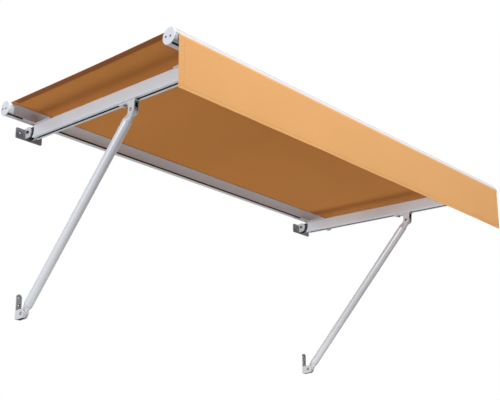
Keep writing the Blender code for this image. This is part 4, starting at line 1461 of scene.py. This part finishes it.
@dataclass
class Frame:
    """The rigid pieces: bars, arms, brackets, struts and fasteners.

    Attributes:
        place: The canopy's frame.
        bars: Where the bars lie.
        arm_x: Distance of the arms from the middle.
        bar_end: Half the bars' length.
        strut_top: (forward, up) of the struts' upper pivots, in the canopy's frame.
        foot: (forward, up) of the struts' lower pivots.
        tube: Outer and inner radius of the struts' tubes.
        tube_chamfer: Chamfer of the tubes' ends.
        fitting: Distance from a strut's pivots to its tube.
        arm_bottom: Height of the arms' underside, in the canopy's frame.
        arm_slot: Half the width of the arms' slots, and the heights that they lie between.
        bar_slot: How far ahead of a bar's centre its lower slot starts and ends.
        bar_slot_up: Heights that the lower slot lies between, from a bar's centre.
        ear_gap: Half the gap between a fork's ears, and between a wall bracket's.
        foot_back: Faces nearer the wall than this belong to the foot's plate.
        wall_back: Faces nearer the wall than this belong to the wall bracket's plate.
        foot_holes: Heights of the foot plates' screw holes.
        plate_hole: Distance beside the arm and height of the wall plates' holes.
        hole_radius: Faces this near a foot hole's middle are in it, and the same for a wall hole.
        cap_screw: The screws of the caps.
        cap_screw_depth: How far the cap screws' tips lie inside the bars' ends.
        cap_spots: Name, distance forward and height of the two screws from a bar's centre.
        clamp_screw: The screws of the clamps.
        clamp_forward: Distance forward of the rear and front clamps' screws.
        clamp_up: Height of their tips, in the canopy's frame.
        wall_bolt: The bolts that the arms turn on.
        wall_bolt_tip: Distance of their tips from the arms' middle.
        clamp_bolt: The bolts that hold the forks.
        clamp_bolt_back: How far they lie behind the struts' upper pivots.
        clamp_bolt_tip: How far their tips reach up into the arms.
        top_pin: The struts' upper pins.
        foot_pin: The struts' lower pins.
    """

    place: CanopyPlace
    bars: BarPlace
    arm_x: float = 0.880
    bar_end: float = 1.0402
    strut_top: Point = (0.6920, -0.0700)
    foot: Point = (0.042, -0.792)
    tube: Point = (0.0190, 0.0170)
    tube_chamfer: float = 0.0009
    fitting: float = 0.0453
    arm_bottom: float = -0.0305
    arm_slot: Place = (0.0115, 0.0004, 0.0124)
    bar_slot: Point = (-0.0190, 0.0006)
    bar_slot_up: Point = (-0.0214, -0.0155)
    ear_gap: Point = (0.0079, 0.0130)
    foot_back: float = 0.0056
    wall_back: float = 0.0066
    foot_holes: Point = (-0.718, -0.750)
    plate_hole: Point = (0.044, -0.005)
    hole_radius: Point = (0.0064, 0.0050)
    cap_screw: Screw = Screw(0.0160, 0.0018, 0.0036, 0.0020)
    cap_screw_depth: float = 0.0114
    cap_spots: tuple[tuple[str, float, float], ...] = (("inner", -0.0140, 0.0),
                                                       ("outer", 0.0100, -0.0030))
    clamp_screw: Screw = Screw(0.0146, 0.0030, 0.0052, 0.0032)
    clamp_forward: Point = (0.1420, 0.9430)
    clamp_up: float = 0.0155
    wall_bolt: Bolt = Bolt(0.0466)
    wall_bolt_tip: float = 0.0278
    clamp_bolt: Bolt = Bolt(0.0178)
    clamp_bolt_back: float = 0.052
    clamp_bolt_tip: float = 0.0102
    top_pin: Pin = Pin(0.0245)
    foot_pin: Pin = Pin(0.0255)

    @property
    def canopy_up(self) -> Vector:
        """The canopy's upward direction, in the model's frame."""
        return self.place.matrix.to_3x3() @ Vector((0.0, 0.0, 1.0))

    def foot_at(self, x: float) -> Vector:
        """Place of the lower pivot of the strut at x."""
        return Vector((x, -self.foot[0], self.foot[1]))

    def top_at(self, x: float) -> Vector:
        """Place of the upper pivot of the strut at x."""
        return self.place.to_model(x, *self.strut_top)

    def paint_bar(self, bar_forward: float) -> Painter:
        """Give the painter of a bar, whose lower slot gets painted shade.

        Args:
            bar_forward: The bar's distance forward.

        Returns:
            The painter.
        """

        def pick(centre: Vector, normal: Vector) -> int:
            """Give 1, the painted shade, in the slot and 0 elsewhere.

            Args:
                centre: The face's middle.
                normal: Its normal; not used.

            Returns:
                The material number.
            """
            ahead = -centre.y - bar_forward
            above = centre.z - self.bars.up
            return int(self.bar_slot[0] < ahead < self.bar_slot[1]
                       and self.bar_slot_up[0] < above < self.bar_slot_up[1])

        return pick

    def paint_arm(self, x: float) -> Painter:
        """Give the painter of an arm, whose slot gets painted shade.

        Args:
            x: The arm's place across.

        Returns:
            The painter.
        """
        half_width, low, high = self.arm_slot

        def pick(centre: Vector, normal: Vector) -> int:
            """Give 1, the painted shade, in the slot and 0 elsewhere."""
            return int(abs(centre.x - x) < half_width and low < centre.z - self.arm_bottom < high)

        return pick

    def plate_face(self, beside: float, above: float, radius: float, normal: Vector) -> int:
        """Give 2, the painted shade, in a plate's hole and 1 on the plate.

        Args:
            beside: The face's distance beside the hole's middle.
            above: Its distance above it.
            radius: Faces this near the middle are in the hole.
            normal: The face's normal.

        Returns:
            The material number.
        """
        return 2 if math.hypot(beside, above) < radius and abs(normal.y) < FACING else 1

    def paint_fork(self, x: float, back: float) -> Painter:
        """Give the painter of a fork: bright ears, painted shade between them and in the holes, and
        a greyer plate.

        Args:
            x: The fork's place across.
            back: Faces nearer the wall than this belong to the plate.

        Returns:
            The painter.
        """

        def pick(centre: Vector, normal: Vector) -> int:
            """Give 1 on the plate, 2 (painted shade) in its holes and between the ears, and 0
            elsewhere.

            Args:
                centre: The face's middle.
                normal: Its normal.

            Returns:
                The material number.
            """
            if centre.y > -back:
                level = min(abs(centre.z - hole) for hole in self.foot_holes)
                return self.plate_face(centre.x - x, level, self.hole_radius[0], normal)
            # Faces that face sideways between the ears get the painted shade.
            inside = abs(centre.x - x) < self.ear_gap[0] and abs(normal.x) > SIDEWAYS
            return 2 if inside else 0

        return pick

    def paint_wall_bracket(self, x: float) -> Painter:
        """Give the painter of a wall bracket: grey plate, bright ears, painted shade in holes and
        between ears.

        Args:
            x: The bracket's place across.

        Returns:
            The painter.
        """

        def pick(centre: Vector, normal: Vector) -> int:
            """Give 1 on the plate, 2 (painted shade) in its holes and between the ears, and 0
            elsewhere.

            Args:
                centre: The face's middle.
                normal: Its normal.

            Returns:
                The material number.
            """
            away = abs(centre.x - x)
            if centre.y > -self.wall_back:
                beside, above = self.plate_hole
                return self.plate_face(away - beside, centre.z - above, self.hole_radius[1], normal)
            # Between the ears: painted shade.
            return 2 if away < self.ear_gap[1] else 0

        return pick

    def coated(self) -> Iterable[HardPart]:
        """Give the bars and arms.

        Returns:
            Each part in turn.
        """
        frame = self.place.matrix
        for bar, forward in (("rear_bar", self.bars.rear_forward),
                             ("front_bar", self.bars.front_forward)):
            # The bars' lower slots take the painted shade.
            yield HardPart(bar, Body.CANOPY, COAT_SLOT, (Finish.BAR_COAT, Finish.INSIDE),
                           edge=0.00025, segments=1, corner=55.0, border=0.0002,
                           paint=self.paint_bar(forward), frame=frame)
        for side in Side:
            # The arms' slots take the painted shade.
            yield HardPart(f"arm_{side.label}", Body.CANOPY, COAT_SLOT,
                           (Finish.ARM_COAT, Finish.INSIDE), edge=0.0003, segments=1,
                           corner=55.0, border=0.0004,
                           paint=self.paint_arm(side.value * self.arm_x), frame=frame)

    def cast(self) -> Iterable[HardPart]:
        """Give the castings, clamps and moulded caps.

        Returns:
            Each part in turn.
        """
        cast = (Finish.CASTING,)
        cap = (Finish.CAP,)
        # Brackets: casting, grey plate, and painted shade in the holes and between the ears.
        bracket = (Finish.CASTING, Finish.PLATE, Finish.INSIDE)
        for side in Side:
            end = side.label
            x = side.value * self.arm_x
            for bar in ("rear", "front"):
                yield HardPart(f"{bar}_bar_cap_{end}", Body.CANOPY, CAP_SLOT, cap, edge=0.0007)
                yield HardPart(f"{bar}_clamp_{end}", Body.CANOPY, CAST_SLOT, cast, edge=0.0005)
            # The knuckles sit between the ears and take the painted shade all over.
            yield HardPart(f"arm_knuckle_{end}", Body.CANOPY, CAST_SLOT, (Finish.INSIDE,),
                           edge=0.0008)
            yield HardPart(f"arm_end_cap_{end}", Body.CANOPY, CAP_SLOT, cap, edge=0.0006)
            yield HardPart(f"wall_bracket_{end}", Body.WALL, CAST_SLOT, bracket, edge=0.0010,
                           segments=3, paint=self.paint_wall_bracket(x))
            yield HardPart(f"foot_bracket_{end}", Body.WALL, CAST_SLOT, bracket, edge=0.0008,
                           segments=3, paint=self.paint_fork(x, self.foot_back))
            yield HardPart(f"strut_bracket_{end}", side.fork, CAST_SLOT, bracket, edge=0.0009,
                           segments=3, paint=self.paint_fork(x, 0.0))
            for fitting in ("top", "foot"):
                yield HardPart(f"strut_{fitting}_fitting_{end}", side.strut, CAST_SLOT, cast,
                               edge=0.0009)

    def screws(self) -> Iterable[Lofted]:
        """Give the screws of the caps and clamps.

        Returns:
            Each screw in turn.
        """
        names = ("rear", "front")
        for side in Side:
            outward = Vector((side.value, 0.0, 0.0))
            tip_x = side.value * (self.bar_end - self.cap_screw_depth)
            for bar, forward in zip(names, (self.bars.rear_forward, self.bars.front_forward)):
                for spot, ahead, above in self.cap_spots:
                    start = self.place.to_model(tip_x, forward + ahead, self.bars.up + above)
                    yield Lofted(f"{bar}_cap_screw_{spot}_{side.label}", Body.CANOPY, STEEL_SLOT,
                                 Finish.DARK_STEEL, start, outward, self.cap_screw.loops(), 64)
            for bar, forward in zip(names, self.clamp_forward):
                start = self.place.to_model(side.value * self.arm_x, forward, self.clamp_up)
                yield Lofted(f"{bar}_clamp_screw_{side.label}", Body.CANOPY, STEEL_SLOT,
                             Finish.ZINC, start, self.canopy_up, self.clamp_screw.loops(), 64)

    def fasteners(self) -> Iterable[Lofted]:
        """Give the bolts and pins.

        Returns:
            Each fastener in turn.
        """
        across = Vector((1.0, 0.0, 0.0))
        for side in Side:
            end = side.label
            x = side.value * self.arm_x
            outward = Vector((side.value, 0.0, 0.0))
            tip = Vector((x - side.value * self.wall_bolt_tip, -self.place.pivot_forward, 0.0))
            yield Lofted(f"wall_pivot_bolt_{end}", Body.WALL, STEEL_SLOT, Finish.DARK_STEEL, tip,
                         outward, self.wall_bolt.loops())
            tip = self.place.to_model(x, self.strut_top[0] - self.clamp_bolt_back,
                                      self.arm_bottom + self.clamp_bolt_tip)
            yield Lofted(f"clamp_bolt_{end}", side.fork, STEEL_SLOT, Finish.ZINC, tip,
                         -self.canopy_up, self.clamp_bolt.loops())
            yield Lofted(f"top_pin_{end}", side.fork, STEEL_SLOT, Finish.ZINC, self.top_at(x),
                         across, self.top_pin.loops())
            yield Lofted(f"foot_pin_{end}", Body.WALL, STEEL_SLOT, Finish.ZINC, self.foot_at(x),
                         across, self.foot_pin.loops())

    def tubes(self) -> Iterable[Lofted]:
        """Give the struts' tubes.

        Returns:
            Each tube in turn.
        """
        outer, inner = self.tube
        chamfer = self.tube_chamfer
        for side in Side:
            x = side.value * self.arm_x
            foot = self.foot_at(x)
            axis = self.top_at(x) - foot
            low, high = self.fitting, axis.length - self.fitting
            loops = [
                (low + chamfer, round_shape(outer)),
                (high - chamfer, round_shape(outer)),
                (high, round_shape(outer - chamfer)),
                (high, round_shape(inner)),
                (low, round_shape(inner)),
                (low, round_shape(outer - chamfer)),
            ]
            yield Lofted(f"strut_tube_{side.label}", side.strut, COAT_SLOT, Finish.TUBE_COAT,
                         foot, axis, loops, 96, True)

    def nuts(self) -> Iterable[HardPart]:
        """Give the nuts of the wall bolts.

        Returns:
            Each nut in turn.
        """
        for side in Side:
            yield HardPart(f"wall_pivot_nut_{side.label}", Body.WALL, STEEL_SLOT, (Finish.ZINC,),
                           edge=0.0003)

    def dress(self, node: str, finish: Finish) -> None:
        """Put a finish on a CAD node that keeps its own mesh.

        Args:
            node: The CAD node.
            finish: Its finish.
        """
        data = bpy.data.objects[node].data
        data.materials.clear()
        data.materials.append(finish.material())
        log.info("dressed %s", node)

    def build(self) -> None:
        """Make and dress every rigid piece."""
        for rod in ("rear", "front", "valance"):
            self.dress(f"keder_{rod}", Finish.ROD)
        for side in Side:
            self.dress(f"slot_nut_{side.label}", Finish.ZINC)
        for group in (self.nuts(), self.coated(), self.cast(), self.screws(), self.fasteners(),
                      self.tubes()):
            for part in group:
                part.build()


@dataclass(frozen=True)
class Lamp:
    """A soft round lamp, aimed at the awning.

    Attributes:
        name: The lamp's name.
        place: Its place.
        size: Its diameter.
        power: Its power in watts.
        colour: Colour of its light.
        shine: Whether it shows in the coats' shine.
    """

    name: str
    place: Place
    size: float
    power: float
    colour: Colour = WHITE[:3]
    shine: bool = True


@dataclass
class Studio:
    """Floor, light and camera.

    Attributes:
        camera_at: The camera's place.
        camera_turn: Its heading, pitch and roll, in radians.
        lens: Its focal length in pixels of a picture of the width below.
        shift: Its vertical shift as a share of the picture's width.
        floor_up: Height of the floor: the awning hangs over a door.
        floor_size: Half the floor's width.
        floor_grey: Base colour of the floor.
        width: Width of the picture in pixels.
        sensor: Width of the camera's sensor in millimetres.
        reach: How far the camera sees.
        air: Colour of the light from all round.
        ambient: Strength of the light from all round.
        floor_white: Share of plain white in the floor's look; the rest shows its shadows.
        target: The place that the lamps are aimed at.
        lamps: The lamps.
    """

    camera_at: Place = (-2.9210, -3.2743, -1.7131)
    camera_turn: Place = (0.8035, 0.2798, -0.0086)
    lens: float = 953.6
    shift: float = 0.154
    floor_up: float = -2.30
    floor_size: float = 70.0
    floor_grey: tuple[float, float, float, float] = (0.80, 0.80, 0.80, 1.0)
    width: float = 500.0
    sensor: float = 36.0
    reach: float = 100.0
    air: tuple[float, float, float, float] = (0.93, 0.96, 1.0, 1.0)
    ambient: float = 0.22
    floor_white: float = 0.88
    target: Place = (0.0, -0.6, -0.2)
    lamps: tuple[Lamp, ...] = (
        Lamp("key", (-2.5, -8.0, 2.8), 1.4, 385.0),
        Lamp("side", (-12.0, -1.2, -0.9), 1.8, 860.0, (0.93, 0.96, 1.0)),
        Lamp("top", (-0.6, -2.4, 3.4), 1.2, 115.0),
        Lamp("under", (0.0, -0.30, -2.25), 3.0, 21.0),
        Lamp("back", (8.0, 5.0, 1.5), 1.8, 380.0, shine=False),
    )

    def build_camera(self) -> None:
        """Set the camera at the photograph's viewing angle."""
        data = bpy.data.cameras.new("camera")
        data.sensor_width = self.sensor
        data.lens = self.lens / self.width * self.sensor
        data.shift_y = self.shift
        data.clip_end = self.reach
        camera = bpy.data.objects.new("camera", data)
        bpy.context.scene.collection.objects.link(camera)
        heading, pitch, roll = self.camera_turn
        camera.matrix_world = (Matrix.Translation(self.camera_at)
                               @ Matrix.Rotation(-heading, 4, "Z")
                               @ Matrix.Rotation(math.radians(90.0) + pitch, 4, "X")
                               @ Matrix.Rotation(roll, 4, "Z"))
        bpy.context.scene.camera = camera

    def floor_material(self) -> bpy.types.Material:
        """Make the pale floor's material, whose bounced light is as even as the air's.

        Returns:
            The material.
        """
        nodes = Nodes("pale floor")
        nodes.shader.inputs["Base Color"].default_value = self.floor_grey
        nodes.settings(Roughness=0.9)
        white = nodes.add("ShaderNodeEmission")
        seen = nodes.add("ShaderNodeMixShader")
        seen.inputs["Fac"].default_value = self.floor_white
        glow = nodes.add("ShaderNodeEmission")
        glow.inputs["Color"].default_value = self.air
        glow.inputs["Strength"].default_value = self.ambient
        mix = nodes.add("ShaderNodeMixShader")
        rays = nodes.add("ShaderNodeLightPath")
        nodes.join(nodes.shader.outputs["BSDF"], seen.inputs[1])
        nodes.join(white.outputs["Emission"], seen.inputs[2])
        nodes.join(rays.outputs["Is Diffuse Ray"], mix.inputs["Fac"])
        nodes.join(seen.outputs["Shader"], mix.inputs[1])
        nodes.join(glow.outputs["Emission"], mix.inputs[2])
        nodes.join(mix.outputs["Shader"], nodes.output.inputs["Surface"])
        nodes.material.cycles.emission_sampling = "NONE"
        return nodes.material

    def build_floor(self) -> None:
        """Lay a plain pale floor."""
        mesh = bmesh.new()
        bmesh.ops.create_grid(mesh, x_segments=2, y_segments=2, size=self.floor_size)
        bmesh.ops.translate(mesh, verts=mesh.verts, vec=Vector((0.0, 0.0, self.floor_up)))
        data = bpy.data.meshes.new("floor")
        mesh.to_mesh(data)
        mesh.free()
        data.materials.append(self.floor_material())
        floor = bpy.data.objects.new("floor", data)
        bpy.context.scene.collection.objects.link(floor)

    def build_world(self) -> None:
        """Surround the awning with even light and a white background."""
        world = bpy.data.worlds.new("studio")
        bpy.context.scene.world = world
        world.use_nodes = True
        tree = world.node_tree
        tree.nodes.clear()
        output = tree.nodes.new("ShaderNodeOutputWorld")
        seen = tree.nodes.new("ShaderNodeBackground")
        light = tree.nodes.new("ShaderNodeBackground")
        for node, colour, strength in ((seen, WHITE, 1.0), (light, self.air, self.ambient)):
            node.inputs["Color"].default_value = colour
            node.inputs["Strength"].default_value = strength
        rays = tree.nodes.new("ShaderNodeLightPath")
        direct = tree.nodes.new("ShaderNodeMath")
        every = tree.nodes.new("ShaderNodeMath")
        direct.operation = every.operation = "MAXIMUM"
        mix = tree.nodes.new("ShaderNodeMixShader")
        for source, target in (
            (rays.outputs["Is Camera Ray"], direct.inputs[0]),
            (rays.outputs["Is Glossy Ray"], direct.inputs[1]),
            (direct.outputs[0], every.inputs[0]),
            (rays.outputs["Is Transmission Ray"], every.inputs[1]),
            (every.outputs[0], mix.inputs["Fac"]),
            (light.outputs[0], mix.inputs[1]),
            (seen.outputs[0], mix.inputs[2]),
            (mix.outputs[0], output.inputs["Surface"]),
        ):
            tree.links.new(source, target)

    def build_lamps(self) -> None:
        """Hang the soft lamps."""
        target = Vector(self.target)
        for lamp in self.lamps:
            data = bpy.data.lights.new(lamp.name, "AREA")
            data.shape = "DISK"
            data.size = lamp.size
            data.energy = lamp.power
            data.color = lamp.colour
            hung = bpy.data.objects.new(lamp.name, data)
            hung.location = lamp.place
            hung.rotation_euler = (target - hung.location).to_track_quat("-Z", "Y").to_euler()
            hung.visible_glossy = lamp.shine
            bpy.context.scene.collection.objects.link(hung)

    def build(self) -> None:
        """Set up the whole studio."""
        bpy.context.scene.view_settings.view_transform = "Standard"
        self.build_camera()
        self.build_floor()
        self.build_world()
        self.build_lamps()


def main() -> None:
    """Build the awning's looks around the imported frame."""
    logging.basicConfig(level=logging.INFO, format="%(message)s")
    for thing in list(bpy.data.objects):
        bpy.data.objects.remove(thing)
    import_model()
    place = CanopyPlace()
    bars = BarPlace()
    Canopy(place, bars).build()
    Valance(place, bars).build()
    Frame(place, bars).build()
    Studio().build()


if __name__ == "__main__":
    main()
